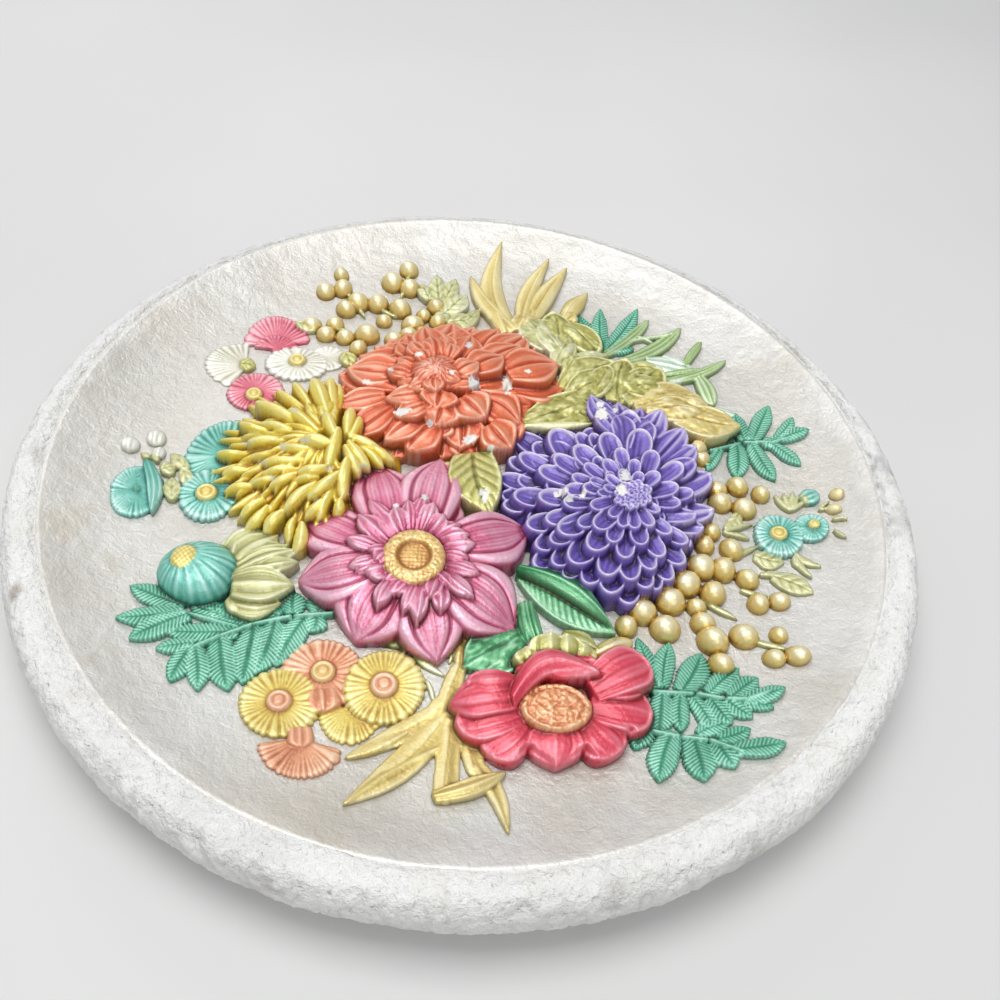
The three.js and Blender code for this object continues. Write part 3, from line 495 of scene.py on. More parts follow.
# a low hub under the petals, painted deep: painted shade in the gaps between the petals
blob((-22.5, -50), 24, 26, F + 2, F + 9.5, "pink_dahlia", "pink", power=2.5, tone=-0.8)
for k, (tx, ty, bx, by, w, hb, ht, cr, bd) in enumerate([
    (1010, 330, 900, 560, 17, 8, 6.5, 2, 0), (120, 440, 520, 600, 25, 9, 5.0, 3.0, 1), (545, 125, 650, 560, 29, 9.5, 7.5, 3.5, -1),
    (940, 88, 830, 560, 27, 10, 8.5, 3.5, 1), (1470, 520, 950, 610, 29, 10, 6.5, 4.5, -1.5), (75, 830, 600, 720, 27, 10, 4.5, 4.5, 1),
    (425, 1195, 680, 780, 31, 9.5, 4.2, 4.5, -2), (1385, 1125, 900, 760, 31, 10, 5.2, 5, 2), (915, 1320, 830, 800, 26, 10, 4.0, 4.5, 0)]):
    petal(C(bx, by, F + hb), C(tx, ty, F + ht - 1.2), w, F + hb, F + ht - 1.8, "pink_dahlia", "pink", "panel", bend=bd, belly=0.6, root=0.42, crown=cr * 0.6, tone=0.08 * math.sin(k * 2.7), n1=k)
for k, (tx, ty, bx, by, w, ht) in enumerate([
    (435, 420, 640, 600, 12, 12.5), (600, 400, 700, 580, 13, 12.5), (500, 330, 690, 560, 9, 12), (365, 560, 600, 640, 9, 12.5), (380, 735, 600, 690, 9, 12),
    (420, 775, 610, 720, 8, 12), (540, 705, 640, 640, 10, 14), (480, 770, 640, 740, 13, 13), (553, 972, 660, 800, 9, 13.5), (640, 905, 760, 800, 9, 13),
    (710, 1008, 800, 820, 8, 13), (795, 1062, 840, 820, 9, 13.5), (870, 925, 930, 790, 9, 14), (940, 1010, 930, 830, 9, 12.5), (1138, 915, 950, 770, 9, 13.5),
    (1175, 778, 960, 720, 9, 13), (1110, 690, 940, 660, 9, 12.5), (1150, 595, 950, 620, 9, 13), (1112, 540, 930, 580, 10, 13.5), (1060, 480, 900, 560, 9, 13),
    (965, 415, 860, 540, 10, 14), (900, 345, 820, 530, 10, 14), (850, 300, 790, 500, 9, 13), (740, 330, 760, 530, 9, 13), (660, 365, 720, 540, 9, 13.5),
    (500, 640, 640, 640, 8, 13), (1000, 850, 900, 760, 8, 13), (600, 830, 720, 760, 9, 12.5)]):
    petal(C(bx, by, F + 11.5), C(tx, ty, F + ht), w * 0.8, F + 11.5, F + ht, "pink_dahlia", "pink", "fold", bend=0.5 * math.sin(k * 2.1), belly=0.6, root=0.5, crown=1.2,
          c=1.1, crease=0.6, tone=0.2 + 0.15 * math.sin(k * 1.9), n1=k)


def pink_disc(r, a, px, pz):
    ring = np.clip((r - 0.56) / 0.06, 0, 1)
    dimple = (0.20 * np.sin(a * 30 + 2 * np.sin(r * 20)) * np.sin(r * 34) + 0.22 * vnoise(px * 13, pz * 13, 0 * px, 23)) * ring
    weave = (0.13 * np.sin((px + pz) * 24) * np.sin((px - pz) * 24) + 0.08 * vnoise(px * 16, pz * 16, 0 * px, 24)) * (1 - ring)
    sink = -1.5 * (1 - np.clip((r - 0.46) / 0.14, 0, 1)) + 0.7 * np.clip(1 - r / 0.44, 0, 1)
    # lighter and darker with the dimples and the weave, and darker in the groove round the middle: painted highlight
    # and painted shade
    return dimple + weave + sink - 0.3 * np.clip((0.9 - r), 0, 1), 1.7 * dimple + 2.6 * weave - 0.7 * g1(r - 0.50, 0.06) - 0.3 * (1 - ring), None


centre = C(778, 660, F + 15)
blob(centre, 12.4, 13.2, F + 12.5, F + 15.6, "pink_dahlia", "disc", power=4.5, fn=pink_disc)

# ------------------------------------------------------------------ yellow quilled flower
C = crop(205, 365, 7.84)
# a low hub under the quills, painted deep: painted shade in the gaps between them
blob((-64, 1), 33, 35, F + 1, F + 8, "yellow_flower", "yellow", power=2.2, tone=-0.85)
hub = C(960, 590, F + 17)
for ring_i, (count, lo, hi, far, h0, h1, w) in enumerate([
        (50, 0.52, 1.64, 1.02, 4.6, 2.8, 4.2), (46, 0.50, 1.62, 0.90, 7.6, 5.6, 4.1), (41, 0.50, 1.62, 0.78, 10.2, 8.4, 4.1), (36, 0.50, 1.62, 0.66, 12.6, 11.0, 4.1), (29, 0.50, 1.63, 0.54, 14.6, 13.4, 4.1), (20, 0.48, 1.66, 0.42, 16.4, 15.6, 4.2)]):
    for k in range(count):
        a = (lo + (hi - lo) * (k + 0.5 * (ring_i % 2) + 0.25 * math.sin(k * 1.9 + ring_i)) / count) * math.pi
        # outline of the flower head, seen face on: long to the left, shorter above and below
        reach = 57.0 / math.sqrt((math.cos(a) / 0.83) ** 2 + (math.sin(a) / (0.90 if math.sin(a) > 0 else 0.80)) ** 2)
        reach *= far * (0.95 + 0.09 * math.sin(k * 2.7 + ring_i * 1.1))
        ca, sa = math.cos(a), math.sin(a)
        tipp = hub + reach * np.array([ca, sa])
        base = hub + (reach - 25 + 3 * ring_i) * np.array([ca, sa]) * (0.5 if far < 0.5 else 1)
        petal(base, tipp, w * (0.92 + 0.14 * math.sin(k * 3.3)), F + h0 + 1.5, F + h1, "yellow_flower", "yellow", "finger", bend=0.9 * math.sin(k * 1.3 + ring_i), belly=0.55,
              root=0.5, crown=1.0, end="point", tone=0.14 * math.sin(k * 2.9) - 0.05, n1=k * 1.7)
for k, (tx, ty, bx, by, w, hb, ht) in enumerate([
    (845, 100, 960, 400, 12, 15, 13.5), (985, 90, 1020, 400, 9, 13, 11.5), (1050, 140, 1030, 400, 6.5, 11, 9), (690, 130, 860, 380, 8, 13, 11), (560, 190, 850, 420, 7.5, 12.5, 10.5),
    (390, 280, 800, 520, 9.0, 16, 14), (660, 335, 900, 540, 9, 18, 17), (1150, 330, 1110, 560, 9.0, 15.5, 14.5), (1215, 400, 1130, 590, 7.5, 15, 13.5), (945, 365, 1045, 600, 9.0, 19.5, 20), (960, 790, 1050, 500, 9.0, 20, 18.5),
    (740, 590, 1000, 640, 11.5, 19.5, 19.5), (600, 635, 880, 680, 8, 17.5, 17), (320, 605, 640, 600, 7.5, 14, 13.5), (430, 450, 720, 550, 7, 15, 14), (265, 450, 520, 540, 7, 12, 11),
    (1290, 815, 1120, 600, 9, 16, 13), (1490, 760, 1220, 620, 8.5, 13, 10), (1400, 700, 1150, 590, 8, 15, 12), (1345, 640, 1140, 560, 8, 15, 13), (1210, 860, 1090, 640, 9, 16, 13), (1400, 800, 1180, 640, 8, 13, 11), (1075, 1045, 1115, 740, 10, 16, 12.5), (1030, 1200, 1060, 1060, 8, 11, 8.5), (800, 1040, 1050, 850, 8.5, 16.5, 13.5),
    (885, 1215, 1020, 960, 8, 13, 9.5), (780, 1200, 960, 1040, 8, 12, 9), (440, 760, 800, 760, 7.5, 16, 14.5), (450, 850, 740, 830, 6.5, 14.5, 13.5), (720, 840, 960, 810, 9, 17.5, 16),
    (700, 900, 900, 890, 7, 15.5, 14.5), (620, 1135, 880, 930, 8, 14.5, 11.5), (85, 690, 330, 700, 6.5, 7, 5), (130, 850, 340, 840, 8, 7, 5), (150, 990, 380, 960, 7.5, 7.5, 5),
    (715, 1475, 760, 1240, 9, 8.5, 5.5), (650, 1390, 700, 1200, 6.5, 8.5, 5.5), (460, 1310, 620, 1150, 9, 8.5, 6), (320, 1290, 500, 1110, 8, 7.5, 5.5), (275, 1200, 470, 1060, 7.5, 8, 5.5),
    (500, 950, 760, 850, 7, 14, 12.5), (360, 920, 620, 880, 6.5, 11.5, 10)]):
    petal(C(bx, by, F + hb), C(tx, ty, F + ht), w * 0.63, F + hb, F + ht, "yellow_flower", "yellow", "finger", bend=0.9 * math.sin(k * 2.2), belly=0.55, root=0.55, crown=1.2,
          end="blunt", tone=0.16 + 0.1 * math.sin(k * 2.9), n1=k * 1.1)

# ------------------------------------------------------------------ red flower
def shape(bx, by, tx, ty, w, hb, ht, gid, paint, style="blade", **k):
    """A piece in the current enlarged view: base, tip and width in its pixels, heights above the floor."""
    dx, dy = tx - bx, ty - by
    n = math.hypot(dx, dy)
    per = px_scale(VIEW[0] + (bx + tx) / 2 / VIEW[2], VIEW[1] + (by + ty) / 2 / VIEW[2])
    k.setdefault("bend", 0.0)
    petal(C(bx, by, F + hb), C(tx, ty, F + ht), w / VIEW[2] * per * math.hypot(dy / n, dx / n / 0.74), F + hb, F + ht, gid, paint, style, **k)


C = crop(430, 560, 3.446)
VIEW = [430, 560, 3.446]
# a low hub under the petals, painted deep: painted shade in the gaps between the petals
blob((31, -112), 24, 18, F + 1, F + 5, "red_flower", "red", power=2.5, tone=-0.7)
for k, (bx, by, tx, ty, w, hb, ht, cr, kw) in enumerate([
    (430, 560, 432, 722, 205, 6.6, 3.4, 1.5, {"end": "point", "belly": 0.52}), (325, 560, 182, 668, 150, 6.4, 3.4, 1.6, {"end": "blunt", "belly": 0.6}), (545, 560, 655, 672, 150, 6.4, 3.4, 1.6, {"end": "blunt", "belly": 0.6}),
    (550, 500, 770, 538, 140, 7.0, 4.4, 1.8, {"end": "blunt", "belly": 0.62}), (320, 520, 84, 572, 128, 7.0, 4.2, 2.0, {"end": "blunt", "belly": 0.6}), (330, 470, 62, 500, 120, 8.0, 6.4, 3.2, {"end": "point", "belly": 0.62, "cup": -0.6}),
    (300, 420, 120, 430, 70, 9.0, 8.0, 2.8, {"end": "round", "belly": 0.6}), (552, 450, 752, 352, 140, 8.2, 7.4, 2.8, {"end": "blunt", "belly": 0.66, "cup": 0.8}), (560, 450, 740, 420, 90, 8.0, 6.4, 2.6, {"end": "round"})]):
    shape(bx, by, tx, ty, w, hb, ht, "red_flower", "red", "fold", **{"bend": 0.9 * math.sin(k * 2.2), "root": 0.6, "crown": cr, "c": 1.5, "ribs": 0.45, "crease": 0.5, "n1": k * 2.1, "tone": 0.08 * math.sin(k * 2.1), **kw})
# the back petal curls forward over the disc as a rolled crest
shape(300, 400, 575, 352, 84, 9.0, 9.0, "red_flower", "red", "fold", bend=1.5, belly=0.5, root=0.5, crown=1.6, c=1.4, crease=0.2, tone=0, end="blunt")
shape(280, 486, 590, 402, 76, 10.0, 10.8, "red_flower", "red", "fold", bend=10.2, belly=0.45, root=0.6, crown=1.8, c=2.6, crease=0.3, ribs=0.3, tone=0.05, end="round", n1=0.6)
shape(420, 395, 600, 402, 44, 11.0, 10.2, "red_flower", "red", "fold", bend=1.2, belly=0.4, root=0.6, crown=1.2, c=1.8, crease=0.2, ribs=0.3, tone=0.15)


def grain_disc(r, a, px, pz):
    n = vnoise(px * 13, pz * 11, 0 * px, 21) + 0.6 * vnoise(px * 26, pz * 22, 0 * px, 22)
    # grains lighter where raised and darker where sunk, and a darker groove at the edge: painted highlight and painted
    # shade; darker inside the groove as well
    return 0.30 * n - 0.45 * g1(r - 0.76, 0.05) + 0.3 * g1(r - 0.9, 0.08), 0.55 * n - 0.35 * g1(r - 0.76, 0.06) - 0.2 * (r < 0.76), None


blob(P(556.5, 707, F + 9.5), 13.0, 9.8, F + 8.0, F + 10.8, "red_flower", "crumb", power=3.5, tone=0.12, fn=grain_disc)

# ------------------------------------------------------------------ leaves between and behind the flowers
C = crop(500, 290, 6.031)


def leaf(bx, by, tx, ty, w, hb, ht, gid, paint, style="leaf", **k):
    """A leaf between two places of the current enlarged view, its ends hb and ht above the floor."""
    petal(C(bx, by, F + hb), C(tx, ty, F + ht), w, F + hb, F + ht, gid, paint, style, **k)


TL = "top_leaves"
C = crop(420, 230, 4.118)
VIEW = [420, 230, 4.118]


# long narrow green blades to the right
for bx, by, tx, ty, w, p, bd, t in [(735, 530, 942, 372, 44, "sage", -1.2, 0.0), (820, 545, 1075, 405, 52, "sage", -2.6, 0.0), (1085, 565, 1158, 462, 34, "sage", 0.3, -0.25), (985, 625, 1262, 538, 38, "sage", -2.2, 0.0),
                                    (860, 460, 1060, 428, 14, "sage", 0.4, 0.5), (890, 440, 960, 470, 12, "sage", 0.3, 0.6), (985, 600, 1170, 575, 24, "sage", 0.4, 0.2), (1000, 640, 1150, 600, 20, "mint", 0.2, 0.0),
                                    (930, 540, 1130, 585, 74, "mint", 0.3, 0.1), (1145, 600, 1205, 725, 70, "sage", 0.6, 0.3), (1185, 742, 1295, 765, 34, "mint", 0.2, 0.0), (1000, 520, 1110, 570, 30, "mint", 0, 0.2)]:
    shape(bx, by, tx, ty, w, 2.0, 1.4, TL, p, bend=bd, belly=0.5, root=0.5, crown=0.6, end="blunt", c=0.8, tone=t)
# tall gold grass
for bx, by, tx, ty, w, bd in [(395, 415, 203, 190, 70, 3.2), (385, 420, 338, 56, 96, 8.2), (415, 400, 534, 122, 74, 3.6), (445, 395, 607, 160, 78, 2.2), (590, 375, 692, 263, 64, 1.0), (390, 420, 250, 330, 60, -0.6), (440, 400, 480, 300, 60, 0.8),
                              (350, 430, 290, 300, 60, 0.6)]:
    shape(bx, by, tx, ty, w, 3.0, 1.6, TL, "gold", "flat", n1=bx * 0.02, bend=bd, belly=0.42, root=0.6, crown=1.2, c=1.5)
# leaves of the cluster: base, tip, width, heights, paint
for bx, by, tx, ty, w, hb, ht, p, t, kw in [
    (400, 420, 470, 350, 90, 3.5, 3.0, "gold", 0.0, {}), (560, 490, 425, 365, 140, 4.6, 3.8, "pale", 0.15, {"vein": 2.6}), (590, 520, 545, 340, 130, 5.0, 3.8, "olive", -0.05, {"vein": 3.2}), (600, 530, 480, 400, 80, 5.4, 5.0, "pale", 0.1, {"vein": 2.6}),
    (560, 390, 740, 512, 105, 4.6, 4.2, "olive", 0.05, {"bend": 2.2}), (600, 380, 640, 350, 50, 4.0, 3.2, "gold", 0.0, {}), (560, 560, 620, 440, 90, 5.5, 5.2, "pale", -0.05, {}), (600, 600, 640, 520, 60, 6.0, 5.6, "olive", 0.1, {}),
    (620, 525, 780, 520, 34, 5.0, 4.6, "pale", 0.3, {}), (590, 660, 800, 545, 125, 6.0, 6.2, "olive", 0.15, {"bend": 2.2, "vein": 5}), (620, 690, 780, 590, 115, 6.8, 6.6, "olive", -0.05, {"vein": 5}), (800, 710, 850, 535, 120, 6.2, 6.4, "olive", -0.1, {"bend": 1.5, "vein": 5}),
    (830, 700, 995, 575, 120, 6.2, 6.2, "olive", 0.0, {"vein": 5}), (835, 640, 990, 655, 90, 6.8, 6.4, "olive", 0.1, {"vein": 5}), (700, 690, 780, 560, 80, 7.2, 7.2, "olive", 0.1, {}), (870, 560, 980, 590, 60, 6.0, 5.6, "olive", 0.2, {}),
    (880, 730, 1190, 725, 150, 6.4, 6.2, "gold", 0.15, {"bend": 3.4, "vein": 5, "life": 0.6}), (930, 745, 1180, 760, 100, 6.8, 6.6, "gold", 0.3, {"bend": 1.0, "vein": 4.5, "life": 0.6, "crown": 1.8}), (1040, 770, 1322, 812, 125, 6.6, 6.4, "gold", 0.05, {"bend": -1.0, "vein": 6, "cup": 0.8}),
    (1080, 700, 1180, 720, 60, 7.0, 6.6, "gold", 0.3, {}), (1120, 880, 1180, 905, 50, 4.6, 4.4, "berry", 0.0, {})]:
    shape(bx, by, tx, ty, w * 1.08, hb, ht, TL, p, "lobe", **{"belly": 0.5, "root": 0.5, "crown": 1.0, "c": 1.3, "tone": t * 0.6, "end": "blunt" if p == "olive" else "point", "n1": bx * 0.013, **kw})
# the broad triangular leaf tucked between the orange and the purple heads, its lower edge pale
shape(720, 690, 398, 808, 150, 7.4, 6.6, TL, "olive", "lobe", n1=2.0, belly=0.45, root=0.6, crown=1.0, bend=1.6, c=0.8, vein=5)
shape(590, 700, 728, 812, 110, 7.6, 7.0, TL, "olive", "lobe", n1=4.0, belly=0.5, root=0.7, crown=0.8, c=0.8, vein=5)
shape(430, 806, 726, 800, 30, 8.0, 8.2, TL, "olive", "plain", belly=0.5, root=0.5, crown=0.2, c=0.9, tone=0.7)
# the one between the orange and the pink heads
C = crop(285, 445, 6.031)
leaf(1130, 50, 1235, 425, 23, 7.5, 9.0, "leaves", "olive", belly=0.42, root=0.75, crown=1.6, bend=-2.0, c=1.2, cup=0.6, vein=6)
leaf(960, 110, 1120, 330, 12, 7.5, 8.0, "leaves", "olive", belly=0.5, root=0.6, crown=1.0, bend=-1.5, c=1.0, vein=6)
# pale buds and leaves behind the berries at the top
C = crop(420, 230, 4.118)
VIEW = [420, 230, 4.118]
for bx, by, tx, ty, w, t in [(80, 310, 68, 186, 82, 0.2), (100, 300, 150, 203, 64, 0.0), (105, 345, 194, 268, 84, 0.35), (110, 385, 240, 375, 74, -0.1), (40, 290, 5, 225, 60, 0.1), (60, 380, 120, 340, 50, 0.2), (180, 400, 245, 330, 50, -0.2)]:
    shape(bx, by, tx, ty, w, 2.8, 2.4, TL, "pale", "leaf", belly=0.5, root=0.5, crown=0.9, c=1.0, vein=5, tone=t)

# ------------------------------------------------------------------ green leaves and sepals above the red flower
C = crop(440, 610, 6.969)
LV = "leaves"
petal(P(522, 573, F + 4.0), P(617, 634, F + 3.4), 18, F + 3.5, F + 3.2, LV, "green", "leaf", bend=-1.0, belly=0.5, root=0.4, crown=1.2, c=0.7, vein=3.2, tone=0.5)
petal(P(518, 566, F + 8), P(613, 627, F + 5.5), 9.0, F + 6.5, F + 4.6, LV, "green", "fold", bend=4.2, belly=0.5, root=0.4, crown=2.4, c=2.2, crease=0, tone=-0.1)   # its rolled edge
petal(P(529, 626, F + 3.4), P(463, 668, F + 3.2), 24, F + 3.4, F + 3.0, LV, "green", "lobe", bend=1.0, belly=0.5, root=0.6, crown=1.3, c=1.0, ruffle=0.04, waves=5, n1=1.3, tone=0.1)
for bx, by, tx, ty, w, h, bd in [(600, -60, 690, 270, 6, 5.5, -1.0), (560, -40, 640, 290, 4, 4.6, -1.0), (640, 0, 720, 260, 4, 5.0, -0.5)]:
    leaf(bx, by, tx, ty, w, h, h - 0.8, LV, "green", "blade", bend=bd, belly=0.4, root=0.9, crown=1.0, end="blunt", c=1.3)
for bx, by, tx, ty, w, hb, ht in [(640, 380, 590, 270, 12, 8, 8.0), (760, 400, 770, 170, 17, 8.5, 10.0), (880, 380, 880, 180, 15, 8.5, 9.6), (960, 360, 1020, 250, 12, 8, 8.2),
                                  (660, 400, 660, 300, 8, 8.5, 9)]:
    leaf(bx, by, tx, ty, w, hb, ht, LV, "olive", "fold", belly=0.5, root=0.7, crown=1.5, c=2.0, tone=0.1, end="blunt")
leaf(1040, 350, 1340, 215, 8.5, 3.5, 3.0, "berries_right", "berry", "finger", belly=0.5, root=0.5, crown=0.8, end="round", fat=0.9)
petal(P(560, 640, F + 3), P(598, 655, F + 3), 10, F + 6, F + 5, LV, "olive", "fold", belly=0.5, root=0.5, crown=1)

# ------------------------------------------------------------------ gold grass at the bottom
GB = "gold_leaves"


def blade(pts, w, h, bd=0.0, belly=0.45, root=0.5, end="point", c=1.0, gid=GB, paint="gold", hb=None):
    (a, b), (c2, d) = pts
    petal(P(a, b, F + h), P(c2, d, F + 1.2), w, F + (h if hb is None else hb), F + 1.2, gid, paint, "blade", bend=bd, belly=belly, root=root, crown=1.0, c=c, end=end)


C = crop(330, 600, 5.833)
VIEW = [330, 600, 5.833]


for bx, by, tx, ty, w, h, kw in [
    (795, 150, 748, 420, 78, 1.8, {"root": 0.9, "end": "blunt"}), (755, 380, 640, 720, 120, 1.7, {"root": 0.7, "end": "blunt"}), (700, 560, 560, 720, 110, 1.6, {"root": 0.7, "end": "blunt"}),
    (720, 590, 75, 922, 112, 1.5, {"bend": 1.4, "root": 0.6}), (460, 760, 90, 925, 60, 1.9, {"bend": 0.5, "root": 0.5, "tone": -0.15}),
    (690, 660, 62, 1198, 160, 1.7, {"bend": 2.6, "root": 0.5}), (640, 860, 75, 1196, 74, 2.0, {"bend": -1.2, "root": 0.4, "tone": -0.3}),
    (700, 690, 672, 1190, 150, 1.9, {"root": 0.85, "end": "blunt", "belly": 0.75}), (690, 660, 800, 900, 110, 1.6, {"root": 0.7, "end": "blunt"}), (790, 780, 870, 1040, 120, 1.7, {"root": 0.8, "end": "blunt", "belly": 0.7}),
    (860, 960, 1042, 1372, 112, 1.8, {"bend": 2.2, "root": 0.8, "belly": 0.3})]:
    shape(bx, by, tx, ty, w, h, h * 0.85, GB, "gold", "flat", n1=bx * 0.01, crown=0.35, c=0.45, **{"belly": 0.45, **kw})
shape(600, 1150, 1035, 1003, 96, 2.6, 2.4, GB, "gold", "fold", bend=-1.2, belly=0.5, root=0.6, crown=0.8, c=1.1, crease=0.8, end="point", tone=0.05)
shape(425, 250, 685, 452, 46, 1.3, 1.0, GB, "pale", "flat", bend=-1.2, belly=0.5, root=0.6, crown=0.3, c=0.4, tone=0.45)
shape(565, 470, 602, 610, 34, 1.2, 1.0, GB, "pale", "flat", bend=0.6, belly=0.5, root=0.6, crown=0.3, c=0.4, tone=0.45)
shape(730, 280, 690, 380, 26, 1.2, 1.0, GB, "pale", "flat", belly=0.5, root=0.6, crown=0.3, c=0.4, tone=0.35)
shape(300, 255, 470, 290, 34, 1.4, 1.2, GB, "pale", "flat", bend=0.8, belly=0.5, root=0.6, crown=0.3, c=0.4, tone=0.4)
shape(400, 225, 440, 330, 26, 1.4, 1.2, GB, "pale", "flat", belly=0.5, root=0.6, crown=0.3, c=0.4, tone=0.4)


# ------------------------------------------------------------------ ferns
def leaflets(scale, rows, gid, h=1.7, vein=1.5):
    """Fern leaflets given in an enlarged view: base, tip, width there, and how much higher than its neighbours."""
    for i, (bx, by, tx, ty, w, up) in enumerate(rows):
        dx, dy = tx - bx, ty - by
        n = math.hypot(dx, dy)
        across = 0.405 * math.hypot(dy / n, dx / n / 0.74)   # mm for a pixel across the leaflet
        petal(C(bx, by, F + h + up), C(tx, ty, F + h * 0.8 + up * 0.5), w / scale * across * (1.12 if gid == "ferns_right" else 1.06), F + h + up, F + h * 0.7 + up * 0.5, gid, "fern", "frond", bend=0.8 * math.sin(i * 2.3),
              belly=0.56, root=0.6, crown=0.4, end="point", vein=vein, tone=0.15 * math.sin(i * 3.1))


def stems(gid, pts, w=1.7, h=3.1):
    for (ax, ay), (bx, by) in zip(pts, pts[1:]):
        petal(C(ax, ay, F + h), C(bx, by, F + h), w, F + h, F + h, gid, "fern", "plain", belly=0.5, root=0.95, crown=0.0, end="blunt", c=0.7, tone=0.25)


C = crop(95, 560, 5.6)
leaflets(5.6, [(470, 250, 190, 142, 110, 0.2), (500, 280, 105, 322, 98, 0.5), (520, 300, 182, 444, 112, 0.7), (800, 400, 370, 395, 96, 0.3), (790, 340, 520, 240, 105, 0.0), (1040, 315, 700, 240, 110, 0.3), (930, 350, 600, 300, 80, 0.1),
               (560, 465, 332, 497, 72, 0.3), (540, 480, 415, 685, 108, 0.3), (560, 475, 572, 735, 122, 0.5), (700, 425, 745, 735, 172, 0.2), (890, 370, 820, 700, 180, 0.0), (1010, 345, 900, 640, 165, 0.3), (1180, 320, 1010, 600, 150, 0.0),
               (1110, 305, 1118, 180, 150, 0.0), (1250, 300, 1250, 190, 130, 0.0), (1360, 300, 1380, 200, 120, 0.0), (1240, 310, 1215, 410, 130, 0.0), (700, 330, 640, 240, 110, 0.0), (480, 270, 420, 190, 90, 0.0)], "ferns_left")
stems("ferns_left", [(1370, 293), (1100, 312), (880, 358), (700, 420), (540, 488)])
stems("ferns_left", [(1040, 320), (800, 372), (480, 280)], 1.3, 2.6)
C = crop(620, 635, 7.778)
leaflets(7.778, [(300, 420, 130, 15, 130, 0.2), (330, 400, 385, 55, 160, 0.4), (480, 440, 635, 140, 205, 0.3), (690, 455, 928, 255, 135, 0.3), (860, 485, 1075, 328, 140, 0.3), (960, 500, 1295, 403, 105, 0.8), (880, 515, 1208, 568, 92, 0.2),
                 (820, 505, 1042, 645, 112, 0.3), (700, 490, 875, 695, 140, 0.4), (560, 480, 745, 770, 130, 0.2), (470, 465, 480, 760, 150, 0.5), (330, 450, 300, 790, 190, 0.6), (220, 620, 108, 895, 170, 0.0),
                 (410, 750, 300, 1145, 200, 0.5), (560, 780, 660, 1140, 215, 0.3), (740, 830, 900, 1038, 165, 0.2), (770, 810, 1018, 725, 110, 0.1), (600, 770, 850, 690, 110, 0.0), (900, 890, 1303, 834, 125, 0.8), (240, 440, 120, 400, 90, 0.0)], "ferns_right", vein=1.45)
stems("ferns_right", [(190, 430), (600, 452), (830, 492), (1000, 492), (1180, 430)])
stems("ferns_right", [(250, 740), (480, 788), (700, 812), (960, 900)])
C = crop(690, 395, 6.222)
leaflets(6.222, [(390, 285, 490, 62, 132, 0.3), (340, 285, 275, 112, 125, 0.2), (530, 275, 640, 135, 85, 0.3), (560, 275, 745, 213, 85, 0.3), (500, 300, 695, 438, 80, 0.2), (380, 305, 535, 535, 118, 0.4), (290, 310, 290, 520, 150, 0.3),
                 (190, 340, 105, 475, 75, 0.0), (260, 300, 180, 230, 90, 0.0), (450, 280, 520, 330, 90, 0.0)], "ferns_right", vein=1.55)
stems("ferns_right", [(120, 345), (330, 292), (520, 288), (620, 262)], 1.4, 2.7)
# behind the leaves at the top
C = crop(420, 230, 4.118)
leaflets(4.118, [(740, 495, 645, 345, 78, 0.3), (750, 500, 742, 322, 88, 0.5), (765, 500, 898, 322, 84, 0.4), (770, 505, 885, 490, 50, 0.2), (560, 370, 545, 335, 50, 0)], TL, vein=1.7)

# ------------------------------------------------------------------ daisies, fans and buds
DL, DB, DR = "daisies_left", "daisies_low", "daisies_right"


def head(u, v, ru, rv, top, gid, paint, eye_px=0, k=0.80, squash=None, **kw):
    """A daisy whose middle shows at pixel u, v, with half-sizes ru, rv in pixels."""
    c = P(u, v, F + top)
    s = px_scale(u, v, F + top)
    rx = ru * s
    rz = rv * s / 0.74 - 0.55 * top if squash is None else squash * rx
    daisy(c, rx, rz, F + top, gid, paint, eye=(eye_px * s if eye_px else None), **kw)


def fan(u, v, ru, rd, top, gid, paint, turn, arc, n=26, **kw):
    """A flower seen from its side: petals spread from a neck at pixel u, v; ru and rd are its reach in pixels across and down."""
    c = P(u, v, F + top)
    sc_ = px_scale(u, v, F + top)
    daisy(c, ru * sc_, rd * sc_ / 0.74, F + top, gid, paint, n=n, arc=arc, turn=turn, **kw)


head(136.5, 489, 28, 32, 2.6, DL, "teal", 3.4, n=46, depth=0.35, eye_paint="fern")
petal(P(147, 461, F + 2.8), P(151, 514, F + 2.6), 6.0, F + 2.8, F + 2.6, DL, "teal", "fold", bend=2.2, belly=0.5, root=0.6, crown=0.6, c=1.4, tone=0.1)
fan(225, 455, 43, 41, 2.0, DL, "teal", 0, math.pi, n=34, depth=0.4)
head(209, 492, 32, 30, 3.0, DL, "teal", 11, n=28, depth=0.45, eye_paint="butter", eye_at=(-1.0, -0.5), thick=1.4)
fan(277, 345, 35, 35, 2.0, DL, "rose", math.pi / 2 + 0.15, 1.5, n=40, depth=0.4, tone=0.15)
fan(277, 348, 24, 16, 2.6, DL, "rose", math.pi / 2 + 0.15, 1.4, n=26, depth=0.4, tone=-0.35)
head(255, 390, 30, 24, 2.6, DL, "rose", 8.5, n=28, depth=0.4, eye_paint="butter", eye_at=(0, -3))
fan(247, 365, 44, 26, 1.7, DL, "white", math.pi - 0.1, 1.4, n=36, depth=0.3, tone=-0.3)
petal(P(240, 364, F + 1.8), P(256, 366, F + 1.6), 8, F + 2.0, F + 1.6, DL, "olive", "leaf", belly=0.5, root=0.5, crown=0.6, c=0.7, vein=3)
head(328, 357, 20, 16, 1.8, DL, "white", n=20, depth=0.3)
head(297, 362, 34, 21, 2.5, DL, "white", 8.5, n=24, depth=0.35, eye_paint="butter", eye_at=(0, 1.0))
